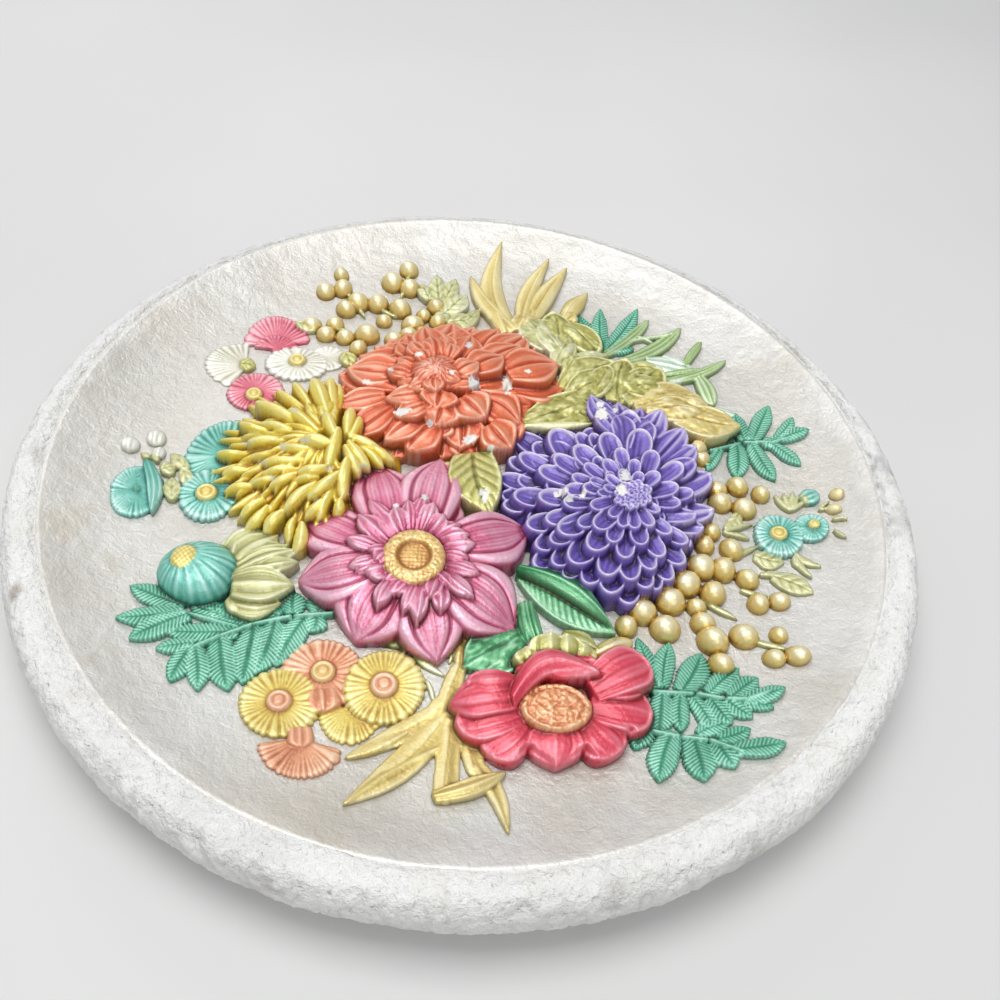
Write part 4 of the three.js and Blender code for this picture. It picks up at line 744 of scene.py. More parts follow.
# folded lower edge of the left teal flower, and its neighbours' small green bits
for u0, v0, u1, v1, w, p, h in [(160, 470, 176, 466, 8, "pale", 2.4), (172, 500, 172, 476, 7, "pale", 2.2), (150, 458, 140, 452, 3, "pale", 2.0), (158, 462, 152, 452, 3, "pale", 2.0), (188, 470, 170, 452, 6, "pale", 2.4),
                                (183, 468, 189, 486, 6, "pale", 2.2), (345, 352, 352, 366, 8, "olive", 2.6), (296, 322, 318, 330, 7, "pale", 2.6)]:
    petal(P(u0, v0, F + h), P(u1, v1, F + h), w, F + h, F + h - 0.8, DL, p, "leaf", belly=0.5, root=0.4, crown=0.7, c=0.7)
for u, v, a, b in [(130, 443, 10, 9), (156, 437, 10, 10), (159, 452, 7, 7)]:
    s = px_scale(u, v)
    # lighter on the ribs, darker between them and round the edge: painted highlight and painted shade
    blob(P(u, v, F + 2), a * s, b * s * 1.15, F + 0.5, F + 3.6, DL, "white", tone=0.2, fn=lambda r, aa, px, pz: (0.2 * np.cos(px * 9), 0.3 * np.cos(px * 9) - 0.4 * r ** 4, None))

fan(352, 706, 36, 33, 1.8, DB, "butter", -math.pi / 2, 1.5, n=38, depth=0.35, tone=-0.1)
fan(301, 738, 46, 38, 2.2, DB, "peach", -math.pi / 2, 1.36, n=40, depth=0.4, tone=-0.1)
petal(P(300, 728, F + 2), P(301, 748, F + 2), 9, F + 2.4, F + 2.2, DB, "peach", "blade", belly=0.5, root=0.9, crown=0.4, c=0.7, end="blunt", tone=-0.1)
petal(P(322, 690, F + 2), P(324, 712, F + 2), 13, F + 2.2, F + 2.0, DB, "peach", "blade", belly=0.5, root=0.9, crown=0.4, c=0.7, end="blunt", tone=-0.25)
head(323, 672, 45, 35, 2.6, DB, "peach", 12.5, n=28, depth=0.4, eye_paint="disc")
head(279, 701, 43, 37, 3.0, DB, "butter", 13, n=33, depth=0.42, eye_paint="peach")
head(384, 685, 43, 38, 3.4, DB, "butter", 14, n=34, depth=0.42, eye_paint="peach")

head(780, 533.5, 26, 25.5, 3.8, DR, "teal", 9.0, n=28, depth=0.5, eye_paint="butter", tone=0.1, eye_at=(-0.6, 0))
head(812, 526, 19.5, 18.5, 3.2, DR, "teal", 6, n=26, depth=0.45, eye_paint="butter", tone=0.1, eye_at=(0.8, 0.6))
C = crop(690, 395, 6.222)


def sprig(bx, by, tx, ty, w, paint="pale", bd=0.0, h=1.5, style="blade", **k):
    petal(C(bx, by, F + h), C(tx, ty, F + h), w, F + h + 0.3, F + h - 0.4, DR, paint, style, bend=bd, belly=0.5, root=0.45, crown=0.4, c=0.7, **k)


for bx, by, tx, ty, w, bd in [(625, 725, 522, 612, 2.6, 0.8), (625, 725, 580, 598, 2.6, 0.3), (628, 722, 640, 594, 2.8, 0), (632, 722, 668, 622, 2.2, -0.3), (640, 720, 730, 650, 2.2, 0.2), (880, 776, 995, 768, 1.7, 0.6), (892, 838, 986, 884, 1.8, -0.6),
                              (650, 985, 828, 1068, 3.4, -1.6), (650, 1000, 772, 1140, 3.0, -1.2), (640, 1010, 682, 1085, 2.4, -0.5), (800, 718, 880, 650, 1.3, 0.3), (800, 722, 860, 700, 1.2, 0), (205, 852, 400, 800, 2.2, 0.3), (210, 860, 385, 895, 2.4, 0.4),
                              (210, 835, 300, 780, 3.2, 0.4)]:
    sprig(bx, by, tx, ty, w, "pale", bd)
sprig(300, 740, 240, 850, 6.5, "pale", 0.4, style="leaf", vein=3)
sprig(395, 1000, 592, 1042, 9.5, "pale", -1.0, style="leaf", vein=4)
sprig(430, 1120, 560, 1100, 3.0, "pale", -0.4)
sprig(510, 1128, 775, 1232, 10.0, "pale", 0.6, style="leaf", vein=4.5)
sprig(690, 655, 800, 608, 8.6, "teal", 0, 2.2, "blade", end="round")
sprig(690, 655, 745, 640, 6.0, "pale", 0, 2.4, "fold")
for bx, by, rx, ry in [(915, 611, 47, 38), (898, 701, 50, 32)]:
    blob(C(bx, by, F + 2), rx / 6.222 * 0.405, ry / 6.222 * 0.405 * 1.2, F + 0.5, F + 3.4, DR, "berry", tone=0.1)

# the closed teal bud on the left, its eye and its sepals
C = crop(100, 430, 3.04)
VIEW = [100, 430, 3.04]
for k, (bx, by, tx, ty, w, hb, ht, bd, kw) in enumerate([
    (400, 410, 430, 322, 95, 4.2, 2.6, 0.6, {"end": "blunt"}), (395, 400, 545, 322, 120, 4.6, 2.6, 1.6, {}), (430, 400, 572, 352, 80, 4.8, 3.0, -0.6, {}), (410, 435, 612, 366, 62, 5.6, 4.0, 0.6, {}), (480, 420, 608, 402, 44, 5.8, 4.4, -0.3, {}),
    (400, 520, 552, 528, 84, 4.2, 2.8, -1.4, {}), (396, 500, 470, 540, 80, 4.0, 2.6, -0.6, {"end": "blunt"}), (400, 470, 592, 474, 104, 6.4, 4.8, 0.2, {})]):
    shape(bx, by, tx, ty, w, hb, ht, DL, "pale", "fold", **{"bend": bd, "belly": 0.45, "root": 0.65, "crown": 1.3, "c": 1.1, "crease": 0.7, "ribs": 1.5, "tone": 0.08 * math.sin(k * 2.3) - 0.05, "n1": k * 1.9, **kw})


def bud_ribs(r, a, px, pz):
    qx, qz = px + 0.45, pz - 0.34
    aa = np.arctan2(qz, qx)
    rr = np.hypot(qx, qz)
    g = np.abs(np.sin(aa * 13 + 1.3 * rr + 0.8 * np.sin(aa * 3))) ** 0.6
    fine = np.sin(aa * 43 + 3 * rr)
    on = np.clip(rr * 1.5, 0, 1)
    scale_ = np.sin(rr * 16 + 1.5 * np.sin(aa * 13)) * np.clip(1.25 - 1.5 * rr, 0, 1)
    # ribs lighter, grooves darker and the edge darker: painted highlight and painted shade
    return (0.30 * (g - 1) + 0.06 * fine + 0.14 * scale_) * on, 0.75 * (g - 0.75) * on + 0.25 * fine * on + 0.35 * scale_ - 0.5 * r ** 4, None


c = P(199, 572, F + 4)
blob(c, 15.5, 14.5, F + 2.5, F + 11.5, DL, "teal", power=2.2, fn=bud_ribs)
# its grains painted lighter where raised and darker where sunk: painted highlight and painted shade
blob(P(184.5, 556, F + 11), 5.4, 6.4, F + 9.2, F + 12.2, DL, "butter", fn=lambda r, a, px, pz: (0.2 * np.sin(px * 16) * np.sin(pz * 16) + 0.2 * g1(r - 0.8, 0.12), 0.7 * np.sin(px * 16) * np.sin(pz * 16), None))

# ------------------------------------------------------------------ berries: (pixel u, v, radius in pixels)
for u, v, r in [(717, 489, 10), (721, 501, 11.5), (738, 485, 11), (761, 493, 10), (745, 507, 11.5), (702, 457.5, 8.5), (696.5, 445.6, 8), (712, 531, 10), (705, 544, 10.7), (732, 548, 12), (702, 565, 14), (724, 568, 13.5),
                (687, 582, 14), (714, 592, 14), (748, 578, 12), (671, 599, 14.5), (643, 610, 14), (697, 606, 10), (627, 625, 12.2), (666, 626.5, 14.3), (704, 622, 12.5), (714, 638.5, 16), (722, 663, 13.5), (745, 634.5, 14),
                (779, 634, 10.5), (775, 657, 11.5), (798.5, 654, 12.5), (759, 602, 12), (780, 600, 10.5), (838, 493, 7.4), (834, 508, 6.5)]:
    s = px_scale(u, v)
    berry(P(u, v, F + 0.55 * r * s), r * s, "berries_right", lift=0.1 * math.sin(u))
for u, v, r in [(341.5, 274, 7.0), (326, 290, 9), (343, 287, 10), (358, 301, 11.3), (378, 302.5, 10.5), (346, 308, 10), (312, 324, 9.5), (335, 323.5, 9), (326, 333, 9.5), (345, 336, 9.5), (367, 333, 12.3), (358, 347, 10),
                (393, 281, 10.6), (409, 269, 9), (410, 287, 10), (400, 307, 11.6), (413, 323, 10.8), (423.5, 315, 8.2), (436, 306, 9.4), (438, 321, 9.6), (394, 338, 9), (409, 334, 9.3), (384, 320, 8), (424, 332, 8)]:
    s = px_scale(u, v)
    berry(P(u, v, F + 0.55 * r * s), r * s, "berries_top", lift=0.1 * math.sin(u))
for u0, v0, u1, v1 in [(342, 282, 352, 300), (409, 276, 400, 300), (350, 296, 366, 318), (378, 308, 398, 318), (728, 560, 760, 545), (700, 600, 740, 620), (740, 590, 776, 600), (750, 640, 790, 650), (318, 328, 350, 330)]:
    petal(P(u0, v0, F + 1.5), P(u1, v1, F + 1.5), 2.6, F + 1.6, F + 1.4, "berries_right" if u0 > 500 else "berries_top", "pale", "blade", belly=0.5, root=0.7, crown=0.3, c=0.6)

# ------------------------------------------------------------------ softening, hollows and paint
def smooth(a, sigma):
    """Gaussian blur of a grid, sigma in cells."""
    n = max(1, int(math.ceil(sigma * 2.6)))
    w = np.exp(-0.5 * (np.arange(-n, n + 1) / sigma) ** 2)
    w = (w / w.sum()).astype(np.float32)
    for axis in (0, 1):
        padded = np.pad(a, [(n, n) if k == axis else (0, 0) for k in (0, 1)], mode="edge")
        out = np.zeros_like(a)
        for k in range(2 * n + 1):
            out += w[k] * (padded[k:k + a.shape[0], :] if axis == 0 else padded[:, k:k + a.shape[1]])
        a = out
    return a


# the red flower's lower petals slope in to the ground at their outline
within = GID > 0
inset = np.zeros(H.shape, np.float32)
for k in range(26):
    inset += within
    less = within.copy()
    less[1:] &= within[:-1]
    less[:-1] &= within[1:]
    less[:, 1:] &= within[:, :-1]
    less[:, :-1] &= within[:, 1:]
    if k % 2:
        less[1:, 1:] &= within[:-1, :-1]
        less[:-1, :-1] &= within[1:, 1:]
    within = less
up = np.maximum(smooth(H, 3.0) - BASE, 0.3)
slope = np.clip((2.6 + 1.7 * CELL * np.maximum(smooth(inset, 1.0) - 0.5, 0)) / up, 0.25, 1)
slope = 1 - (1 - slope) * (GID == G["red_flower"]) * np.clip((-104 - GZ) / 10, 0, 1)
H = np.where(GID > 0, BASE + (H - BASE) * slope, H).astype(np.float32)

ON = GID > 0
REAL = H.copy()
H = smooth(H, 0.55)
H += (0.035 * vnoise(GX / 1.3, GZ / 1.3, 0 * GX, 11) + 0.05 * vnoise(GX / 4.2, GZ / 4.2, 0 * GX, 12)).astype(np.float32)
FINE = H - smooth(H, 3.0)
WIDE = H - smooth(H, 9.0)
TONE = smooth(TONE, 0.6)
U, V = project(GX, GZ, H)


def linear(c):
    c = np.clip(np.asarray(c, np.float32) / 255.0, 0, 1)
    return np.where(c <= 0.04045, c / 12.92, ((c + 0.055) / 1.055) ** 2.4)


PAINT3 = linear(np.array([PAINTS[n] for n in PNAMES], np.float32))         # paint, (base, light, deep), rgb


def colour_grid():
    # lighter on ridges, deeper in creases and broad hollows, and darkened further in the creases: painted highlight and
    # painted shade, together with the paint's own wash and dry-brush
    t = TONE + 0.62 * np.clip(FINE / 0.42, -1.5, 0.42) + 0.30 * np.clip(WIDE / 2.0, -1.6, 0.35) + 0.10 * vnoise(GX / 6.0, GZ / 6.0, 0 * GX, 31)
    up, dn = np.clip(t, 0, 1)[..., None], np.clip(-t, 0, 1)[..., None]
    base, light, deep = PAINT3[PAL, 0], PAINT3[PAL, 1], PAINT3[PAL, 2]
    return (base + (light - base) * up * 0.85 + (deep - base) * dn) * (1 - 0.60 * np.clip(-FINE / 1.2 - 0.15, 0, 1))[..., None]


COL = colour_grid()
MATTE = np.zeros_like(H)


def patch(u, v, ru, rv, colour=(232, 230, 224), turn=0.0, rough=0.35, strength=1.0, seed=0, matte=1.0, on=True):
    """A chip, rub or stain round pixel u, v: an uneven patch of another colour."""
    du, dv = (U - u), (V - v)
    ct, st = math.cos(turn), math.sin(turn)
    a, b = (du * ct + dv * st) / ru, (-du * st + dv * ct) / rv
    near = (np.abs(a) < 2) & (np.abs(b) < 2) & (ON if on else True)
    if not near.any():
        return
    d = np.hypot(a[near], b[near]) + rough * vnoise(GX[near] / 0.9, GZ[near] / 0.9, 0 * GX[near], 50 + seed) + 0.5 * rough * vnoise(GX[near] / 0.45, GZ[near] / 0.45, 0 * GX[near], 70 + seed)
    k = np.clip((1.0 - d) / 0.16, 0, 1) * strength
    COL[near] = COL[near] * (1 - k[:, None]) + linear(colour) * k[:, None]
    MATTE[near] = np.maximum(MATTE[near], k * matte)
    H[near] -= (0.22 * k * matte).astype(np.float32)


SILVER = (214, 214, 212)
for i, (u, v, ru, rv, turn) in enumerate([
    (625, 476, 5.5, 6.5, 0.2), (622, 490, 6.5, 5, 0.5), (563, 491, 4.5, 6, 0.9), (569, 498, 5, 4, 0), (584, 493, 3, 5.5, 0.5), (602, 414, 7, 6, 0.3), (615, 410, 3, 2.5, 0), (556, 494, 3, 3, 0), (600, 404, 4, 3, 0),
    (474, 383, 6, 8, -0.3), (507, 384, 4.5, 10, -0.1), (403, 411, 9, 4, -0.2), (430, 423, 4, 4, 0), (469.5, 439, 8, 4.5, -0.3), (491, 447, 3, 3, 0), (469, 345, 4, 3, 0), (367, 382, 5, 2.5, 0.2), (419, 354, 4, 2.5, 0),
    (425, 497, 4, 3, 0), (396, 505, 3, 2.5, 0), (485.5, 496.5, 3.5, 9, 0.3), (481, 492, 2.5, 5, 0.2), (452, 372, 3, 2, 0), (528, 371, 3, 2, 0), (391, 369, 3, 2, 0)]):
    patch(u, v, ru, rv, (236, 234, 228) if i % 3 else SILVER, turn, seed=i)
for i, (u, v, ru, rv) in enumerate([(304, 440, 7, 4), (283, 447, 5, 4), (247, 442, 6, 3), (294, 410, 4, 3), (364, 465, 5, 3), (329, 468, 4, 3), (262, 461, 5, 3), (272, 478, 4, 3), (315, 500, 3, 3), (342, 452, 4, 2.5)]):
    patch(u, v, ru, rv, (206, 200, 168), 0.0, seed=20 + i, strength=0.75, matte=0.6)
# darker and browner in the deepest hollows
deep = np.clip((-FINE - 0.55) / 0.9, 0, 1) * ON * (0.5 + 0.5 * vnoise(GX / 9.0, GZ / 9.0, 0 * GX, 41))
COL = COL * (1 - 0.45 * np.clip(deep, 0, 1)[..., None]) + linear((96, 74, 48)) * 0.45 * np.clip(deep, 0, 1)[..., None]

# ------------------------------------------------------------------ meshes
made = []


def new_mesh(name, co, quads, col, matte):
    """A smooth mesh from points (mm: x, z, height above the wall), quads and per-point colour."""
    me = bpy.data.meshes.new(name)
    n, f = len(co), len(quads)
    me.vertices.add(n)
    me.vertices.foreach_set("co", (np.column_stack([co[:, 0], -co[:, 2], co[:, 1]]) / 1000.0).astype(np.float32).ravel())
    me.loops.add(f * 4)
    me.loops.foreach_set("vertex_index", quads.astype(np.int32).ravel())
    me.polygons.add(f)
    me.polygons.foreach_set("loop_start", np.arange(0, f * 4, 4, dtype=np.int32))
    me.polygons.foreach_set("use_smooth", np.ones(f, bool))
    me.update(calc_edges=True)
    ca = me.color_attributes.new("Col", "FLOAT_COLOR", "POINT")
    ca.data.foreach_set("color", np.column_stack([col, np.ones(n)]).astype(np.float32).ravel())
    fa = me.attributes.new("matte", "FLOAT", "POINT")
    fa.data.foreach_set("value", matte.astype(np.float32))
    lo, hi = co[:, :2].min(0), co[:, :2].max(0)
    uv = (co[:, :2] - lo) / float((hi - lo).max()) * 0.98 + 0.01
    layer = me.uv_layers.new(name="OFBake")
    layer.data.foreach_set("uv", uv[quads.ravel()].astype(np.float32).ravel())
    me.validate()
    o = bpy.data.objects.new(name, me)
    bpy.context.scene.collection.objects.link(o)
    made.append(o)
    return o


corner = np.stack([GID[:-1, :-1], GID[:-1, 1:], GID[1:, 1:], GID[1:, :-1]])
owner = corner.max(0)                                       # each cell goes to one group, its outermost ring of points sinks into the dish
SKIRT = np.where(ON, H, BASE - 0.7)
INDEX = np.arange(NZ * NX).reshape(NZ, NX)
cover = smooth(ON.astype(np.float32), 1.15)
gz_, gx_ = np.gradient(cover, CELL)
g2 = gx_ ** 2 + gz_ ** 2 + 1e-4
edge_on, edge_off = np.zeros_like(ON), np.zeros_like(ON)
for dj, di in ((0, 1), (0, -1), (1, 0), (-1, 0), (1, 1), (-1, -1), (1, -1), (-1, 1)):
    sh = np.roll(np.roll(ON, dj, 0), di, 1)
    edge_on |= ON & ~sh
    edge_off |= ~ON & sh
step = np.clip((0.5 - cover) / np.sqrt(g2), -0.34, 0.34) * (edge_on | edge_off) - 0.05 * edge_off
MX, MZ = GX + step * gx_ / np.sqrt(g2), GZ + step * gz_ / np.sqrt(g2)
flat_co = np.column_stack([MX.ravel(), MZ.ravel(), SKIRT.ravel()])
flat_col, flat_matte = COL.reshape(-1, 3), MATTE.ravel()
# the sunk ring takes its neighbour's paint, darkened to 0.26 as painted shade at the foot of each wall, and the
# outermost points on top darkened a little to 0.86
ring = ~ON
near_on = np.zeros_like(ON)
ring_col = COL.copy()
for dj, di in ((0, 1), (0, -1), (1, 0), (-1, 0), (1, 1), (-1, -1), (1, -1), (-1, 1)):
    sh = np.roll(np.roll(ON, dj, 0), di, 1)
    take = ring & sh & ~near_on
    ring_col[take] = np.roll(np.roll(COL, dj, 0), di, 1)[take]
    near_on |= take
flat_col = (ring_col * np.where(near_on, 0.26, np.where(edge_on, 0.86, 1.0))[..., None]).reshape(-1, 3)
total = 0
for gi, name in enumerate(GROUPS):
    if not gi:
        continue
    jj, ii = np.nonzero(owner == gi)
    if not len(jj):
        continue
    q = np.stack([INDEX[jj, ii], INDEX[jj, ii + 1], INDEX[jj + 1, ii + 1], INDEX[jj + 1, ii]], 1)
    used, inv = np.unique(q, return_inverse=True)
    new_mesh(name, flat_co[used], inv.reshape(-1, 4), flat_col[used], flat_matte[used])
    total += 2 * len(q)
    print("mesh", name, 2 * len(q))

# ------------------------------------------------------------------ the dish
radii = np.concatenate([np.arange(0.5, 58, 7.0), np.arange(60, 180.6, 1.3)])
NT = 480
th = np.arange(NT) / NT * 2 * math.pi
R2, T2 = np.meshgrid(radii, th, indexing="ij")
dx_, dz_ = R2 * np.cos(T2), R2 * np.sin(T2)


def polar_quads(nr, nt):
    i = np.arange(nr - 1)[:, None] * nt
    k = np.arange(nt)[None, :]
    k2 = (k + 1) % nt
    return np.stack([i + k, i + nt + k, i + nt + k2, i + k2], -1).reshape(-1, 4)


# degrees round the plaque and how far the outline stands in (-) or out there, mm
SAG = [(-13, -1.4), (7, -4.7), (26, -8.0), (45, -9.3), (62, -9.6), (78, -9.4), (93, -8.8), (109, -9.0), (126, -9.6), (143, -8.5), (162, -6.5), (182, -3.6), (200, -2.4), (216, -0.4), (230, 0.5),
       (246, 1.2), (261, 0.9), (275, 0.5), (288, 0.9), (313, 1.3), (329, 0.6), (347, -1.4), (367, -4.7)]
top_ = np.clip(np.sin(T2), 0, 1)
drop_ = 0.8 * top_ ** 2 + 0.46 * np.clip(-np.interp(np.degrees(T2), [q[0] for q in SAG], [q[1] for q in SAG]), 0, 12) * top_      # how much lower the rim lies there
dh_ = floor_h(dx_, dz_) - 0.24 * drop_ * np.clip((R2 - 158) / 14.0, 0, 1) ** 2 - (1.6 + 2.2 + drop_) * np.clip((R2 - 173.2) / 2.6, 0, 1)      # the edge goes down under the rim
dish_lump = (0.12 * vnoise(dx_ / 3.3, dz_ / 3.3, 0 * dx_, 61) + 0.09 * vnoise(dx_ / 6.5, dz_ / 6.5, 0 * dx_, 62)) * (0.7 + 0.3 * np.cos(T2 - 1.0))
dh_ = dh_ + dish_lump * np.clip((R2 - 60) / 20, 0, 1) * np.clip((178 - R2) / 8, 0, 1)
CREAM, CREAM_LIGHT, CREAM_DEEP = linear((196, 192, 184)), linear((214, 213, 210)), linear((172, 165, 150))
m = np.clip(0.5 + 0.45 * fbm(dx_ / 34, dz_ / 34, 0 * dx_, 3, 63), 0, 1)[..., None]
dcol = CREAM * m + CREAM_LIGHT * (1 - m)
# painted shade: darker in the dips of the lumps
k = np.clip(-dish_lump / 0.2, 0, 1)[..., None] * 0.25
dcol = dcol * (1 - k) + CREAM_DEEP * k


def spots(x, z, cell, chance, seed, rmin, rmax):
    """0 to 1: sparse round specks, one at most in a cell."""
    cx, cz = np.floor(x / cell), np.floor(z / cell)
    out = np.zeros_like(x)
    for a in (-1, 0, 1):
        for b in (-1, 0, 1):
            qx, qz = (cx + a).astype(np.int64), (cz + b).astype(np.int64)
            h = ((qx * 73856093) ^ (qz * 19349663) ^ (seed * 2654435)) & 4095
            r1, r2, r3, r4 = _table[h], _table[(h * 7 + 11) & 4095], _table[(h * 13 + 5) & 4095], _table[(h * 29 + 3) & 4095]
            px, pz = (qx + r1) * cell, (qz + r2) * cell
            rad = rmin + (rmax - rmin) * r4
            out = np.maximum(out, np.where(r3 < chance, np.clip((rad - np.hypot(x - px, z - pz)) / (0.4 * rad), 0, 1), 0))
    return out


for u, v, size, colour, strength in [(862, 440, 13, (176, 178, 178), 0.45), (876, 500, 11, (180, 180, 180), 0.45), (60, 520, 16, (196, 186, 166), 0.5), (110, 560, 9, (190, 180, 160), 0.4), (95, 655, 8, (194, 184, 164), 0.4),
                                         (330, 850, 12, (206, 196, 178), 0.4), (700, 840, 10, (204, 196, 178), 0.35), (790, 560, 10, (212, 206, 194), 0.3), (600, 245, 8, (196, 200, 202), 0.3)]:
    q = P(u, v, F)
    d = np.hypot(dx_ - q[0], dz_ - q[1]) / size + 0.6 * vnoise(dx_ / 4, dz_ / 4, 0 * dx_, 64)
    k = (np.clip(1 - d, 0, 1) * strength)[..., None]
    dcol = dcol * (1 - k) + linear(colour) * k
k = (np.clip((R2 - 167 + 3.0 * vnoise(dx_ / 7, dz_ / 7, 0 * dx_, 65)) / 9.0, 0, 1) * 0.85)[..., None]      # whiter where the cream wash thins out towards the rim
dcol = dcol * (1 - k) + linear((232, 230, 225)) * k
dish = new_mesh("dish", np.column_stack([dx_.ravel(), dz_.ravel(), dh_.ravel()]), polar_quads(len(radii), NT)[:, ::-1], dcol.reshape(-1, 3), np.zeros(dx_.size))
total += 2 * (len(radii) - 1) * NT

# ------------------------------------------------------------------ the rolled rim, rough as it left the mould
PROFILE = [(171.5, 27.2), (174.4, 30.0), (176.6, 31.5), (178.6, 32.3), (181.0, 33.0), (183.4, 32.9), (185.6, 31.4), (187.8, 28.6), (189.0, 25.0), (189.4, 20.5), (188.6, 14.5), (186.2, 9.6), (182.0, 5.6), (174.5, 2.6), (164.0, 0.02)]
seg = [0.0]
for a, b in zip(PROFILE, PROFILE[1:]):
    seg.append(seg[-1] + math.hypot(b[0] - a[0], b[1] - a[1]))
NP_, NR_ = 46, 1280
s_ = np.linspace(0, seg[-1], NP_)
pr = np.interp(s_, seg, [p[0] for p in PROFILE])
ph = np.interp(s_, seg, [p[1] for p in PROFILE])
for _ in range(2):
    pr[1:-1] = 0.25 * pr[:-2] + 0.5 * pr[1:-1] + 0.25 * pr[2:]
    ph[1:-1] = 0.25 * ph[:-2] + 0.5 * ph[1:-1] + 0.25 * ph[2:]
nr_, nh_ = np.gradient(ph), -np.gradient(pr)
nl = np.hypot(nr_, nh_)
nr_, nh_ = -nr_ / nl, -nh_ / nl                             # outward from the roll
if nh_[NP_ // 4] < 0:
    nr_, nh_ = -nr_, -nh_
ta = np.arange(NR_) / NR_ * 2 * math.pi
SS, TT = np.meshgrid(s_, ta, indexing="ij")
PR, PH = pr[:, None] + 0 * TT, ph[:, None] + 0 * TT
cx_, cz_ = PR * np.cos(TT), PR * np.sin(TT)
calm = np.clip((SS - 1.0) / 6.0, 0, 1) * np.clip((seg[-1] - SS) / 10.0, 0, 1)
low = 0.5 - 0.5 * np.sin(TT)                                # rougher at the foot of the plaque than at its top
lump = (0.55 * vnoise(cx_ / 17, cz_ / 17, PH / 17, 81) + 0.30 * vnoise(cx_ / 6.0, cz_ / 6.0, PH / 6.0, 82)
        + (0.18 + 0.22 * low) * vnoise(cx_ / 2.4, cz_ / 2.4, PH / 2.4, 83) + (0.08 + 0.12 * low) * vnoise(cx_ / 1.1, cz_ / 1.1, PH / 1.1, 84))
ridge = np.abs(vnoise(cx_ / 3.6, cz_ / 3.6, PH / 3.6, 85))
lump = lump - (0.25 + 0.35 * low) * np.clip(0.22 - ridge, 0, 1) / 0.22
pits = np.clip((vnoise(cx_ / 1.7, cz_ / 1.7, PH / 1.7, 86) - 0.62) / 0.2, 0, 1)
lump = lump - 0.5 * pits * (0.4 + 0.6 * low)


def at_pixel(u, v, h):
    p = P(u, v, h, follow=False)
    return math.atan2(p[1], p[0])


# two cracks that run across the roll, and a flaked patch
for (u, v, width, deepness, wob) in [(613, 887, 0.0042, 1.0, 0.006), (300, 868, 0.003, 0.5, 0.004), (118, 770, 0.003, 0.4, 0.004)]:
    t0 = at_pixel(u, v, 30)
    d = np.abs((TT - t0 - wob * np.sin(SS * 0.55) - 0.5 * wob * vnoise(SS / 3, 0 * SS, 0 * SS, 87) + math.pi) % (2 * math.pi) - math.pi)
    lump = lump - deepness * np.exp(-(d / width) ** 2) * np.clip(1.2 - np.abs(SS - 14) / 16, 0, 1)
t0 = at_pixel(257, 884, 27)
flake = np.clip(1 - np.hypot(((TT - t0 + math.pi) % (2 * math.pi) - math.pi) / 0.055, (SS - 9) / 6.0) - 0.25 * vnoise(cx_ / 4, cz_ / 4, PH / 4, 88), 0, 1)
flake = np.clip(flake / 0.12, 0, 1)
lump = lump - 0.9 * flake
lump = lump * (0.5 + 0.5 * low)
RR = PR + nr_[:, None] * lump * calm
HH = np.maximum(PH + nh_[:, None] * lump * calm, 0.0)
RR = RR * (1 + 0.0012 * np.sin(3 * TT + 0.7) * np.clip(SS / 10, 0, 1))
shape_ = -2.2 * np.clip(np.sin(TT), 0, 1) ** 2 + 1.2 * np.clip(-np.cos(TT), 0, 1) ** 3 - 1.2 * np.clip(-np.sin(TT), 0, 1) ** 2      # not quite round
off = np.interp(np.degrees(TT), [q[0] for q in SAG], [q[1] for q in SAG])
upper = np.clip(np.sin(TT), 0, 1)
RR = RR + (shape_ + off * (1 - 0.42 * upper)) * np.clip((SS - 3) / 9.0, 0, 1)
HH = HH - (0.8 * upper ** 2 + 0.46 * np.clip(-off, 0, 12) * upper) * np.clip(SS / 8.0, 0, 1) * np.clip(HH / 30, 0, 1)
inner = np.clip(1 - SS / 9.0, 0, 1) * np.clip(SS / 2.0, 0, 1) * (0.3 + 0.7 * low)
RR = RR + inner * (0.5 * vnoise(cx_ / 3.5, cz_ / 3.5, 0 * cx_, 92) + 1.1 * vnoise(cx_ / 11, cz_ / 11, 0 * cx_, 89))
WHITE, GREYW, WARM = linear((245, 245, 243)), linear((206, 205, 202)), linear((222, 214, 198))
rcol = WHITE + 0 * TT[..., None]
# painted shade: greyer in the hollows, pits and cracks of the roll
k = (np.clip(-lump / 0.9, 0, 1) * 0.35)[..., None]
rcol = rcol * (1 - k) + GREYW * k
k = (np.clip(0.5 * vnoise(cx_ / 12, cz_ / 12, PH / 12, 90) + 0.3 * vnoise(cx_ / 3, cz_ / 3, PH / 3, 91) - 0.05, 0, 1) * 0.5)[..., None]
rcol = rcol * (1 - k) + WARM * k
for u, v, size, colour, strength in [(884, 470, 12, (150, 150, 152), 0.55), (896, 520, 10, (164, 162, 160), 0.45), (872, 418, 9, (160, 160, 160), 0.45), (17, 592, 5, (128, 104, 78), 0.6), (40, 455, 6, (150, 138, 120), 0.35),
                                         (613, 889, 5, (150, 132, 108), 0.4), (257, 884, 7, (168, 160, 148), 0.5), (830, 330, 9, (176, 176, 176), 0.35), (300, 250, 8, (186, 186, 184), 0.35), (760, 845, 7, (168, 160, 150), 0.35)]:
    q = P(u, v, 31.5, follow=False)
    d = np.hypot(RR * np.cos(TT) - q[0], RR * np.sin(TT) - q[1]) / size + 0.7 * vnoise(cx_ / 3.5, cz_ / 3.5, PH / 3.5, 93)
    k = (np.clip(1 - d, 0, 1) * strength)[..., None]
    rcol = rcol * (1 - k) + linear(colour) * k
